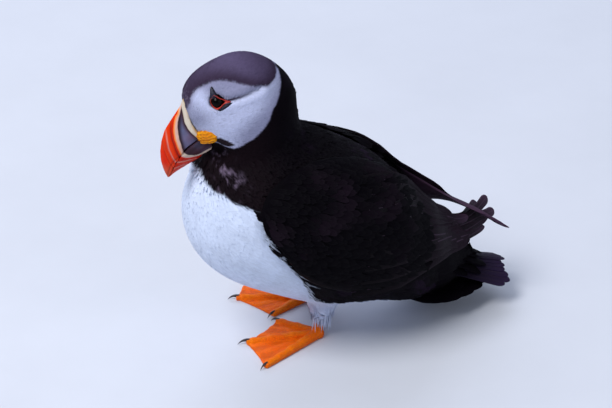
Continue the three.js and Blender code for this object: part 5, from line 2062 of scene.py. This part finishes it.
class PUFFIN_OT_tail(PuffinMake, bpy.types.Operator):
    """Fan out the feathers of the tail"""

    bl_idname = "puffin.tail"
    bl_label = "Tail"
    build = staticmethod(build_tail)


class PUFFIN_OT_bill(PuffinMake, bpy.types.Operator):
    """Shape and colour the two halves of the bill"""

    bl_idname = "puffin.bill"
    bl_label = "Bill"
    build = staticmethod(build_bill)


class PUFFIN_OT_eyes(PuffinMake, bpy.types.Operator):
    """Make the eyeballs, their rings and their plates"""

    bl_idname = "puffin.eyes"
    bl_label = "Eyes"
    build = staticmethod(build_eyes)


class PUFFIN_OT_rosettes(PuffinMake, bpy.types.Operator):
    """Make the fleshy rosettes at the corners of the mouth"""

    bl_idname = "puffin.rosettes"
    bl_label = "Rosettes"
    build = staticmethod(build_rosettes)


class PUFFIN_OT_feet(PuffinMake, bpy.types.Operator):
    """Shape the feet and webs"""

    bl_idname = "puffin.feet"
    bl_label = "Feet"
    build = staticmethod(build_feet)


class PUFFIN_OT_claws(PuffinMake, bpy.types.Operator):
    """Make the claws"""

    bl_idname = "puffin.claws"
    bl_label = "Claws"
    build = staticmethod(build_claws)


class PUFFIN_OT_stage(PuffinMake, bpy.types.Operator):
    """Set the floor, the lights and the camera"""

    bl_idname = "puffin.stage"
    bl_label = "Stage"
    build = staticmethod(build_stage)


TOOLS = (PUFFIN_OT_skin, PUFFIN_OT_coat, PUFFIN_OT_wings, PUFFIN_OT_tail, PUFFIN_OT_bill, PUFFIN_OT_eyes,
         PUFFIN_OT_rosettes, PUFFIN_OT_feet, PUFFIN_OT_claws, PUFFIN_OT_stage)
GROUPS = {"puffin_plumage": PuffinPlumage, "puffin_skin": PuffinSkin, "puffin_coat": PuffinCoat,
          "puffin_wings": PuffinWings, "puffin_bill": PuffinBill, "puffin_eyes": PuffinEyes,
          "puffin_feet": PuffinFeet, "puffin_stage": PuffinStage}


class PUFFIN_PT_panel(bpy.types.Panel):
    """Lists the tools and their sizes and colours"""

    bl_idname = "PUFFIN_PT_panel"
    bl_label = "Standing puffin"
    bl_space_type = "VIEW_3D"
    bl_region_type = "UI"
    bl_category = "Puffin"

    def draw(self, context):
        for tool in TOOLS:
            self.layout.operator(tool.bl_idname)
        for name, kind in GROUPS.items():
            box = self.layout.box()
            box.label(text=kind.__doc__)
            for key in kind.__annotations__:
                box.prop(getattr(context.scene, name), key)


def register():
    for name, kind in GROUPS.items():
        bpy.utils.register_class(kind)
        setattr(bpy.types.Scene, name, bpy.props.PointerProperty(type=kind))
    for kind in (*TOOLS, PUFFIN_PT_panel):
        bpy.utils.register_class(kind)


def unregister():
    for kind in (PUFFIN_PT_panel, *reversed(TOOLS)):
        bpy.utils.unregister_class(kind)
    for name, kind in GROUPS.items():
        delattr(bpy.types.Scene, name)
        bpy.utils.unregister_class(kind)


def main():
    register()
    for tool in TOOLS:
        _, name = tool.bl_idname.split(".")
        if getattr(bpy.ops.puffin, name)() != {"FINISHED"}:
            raise RuntimeError(f"the tool {tool.bl_label} did not finish")


if __name__ == "__main__":
    main()
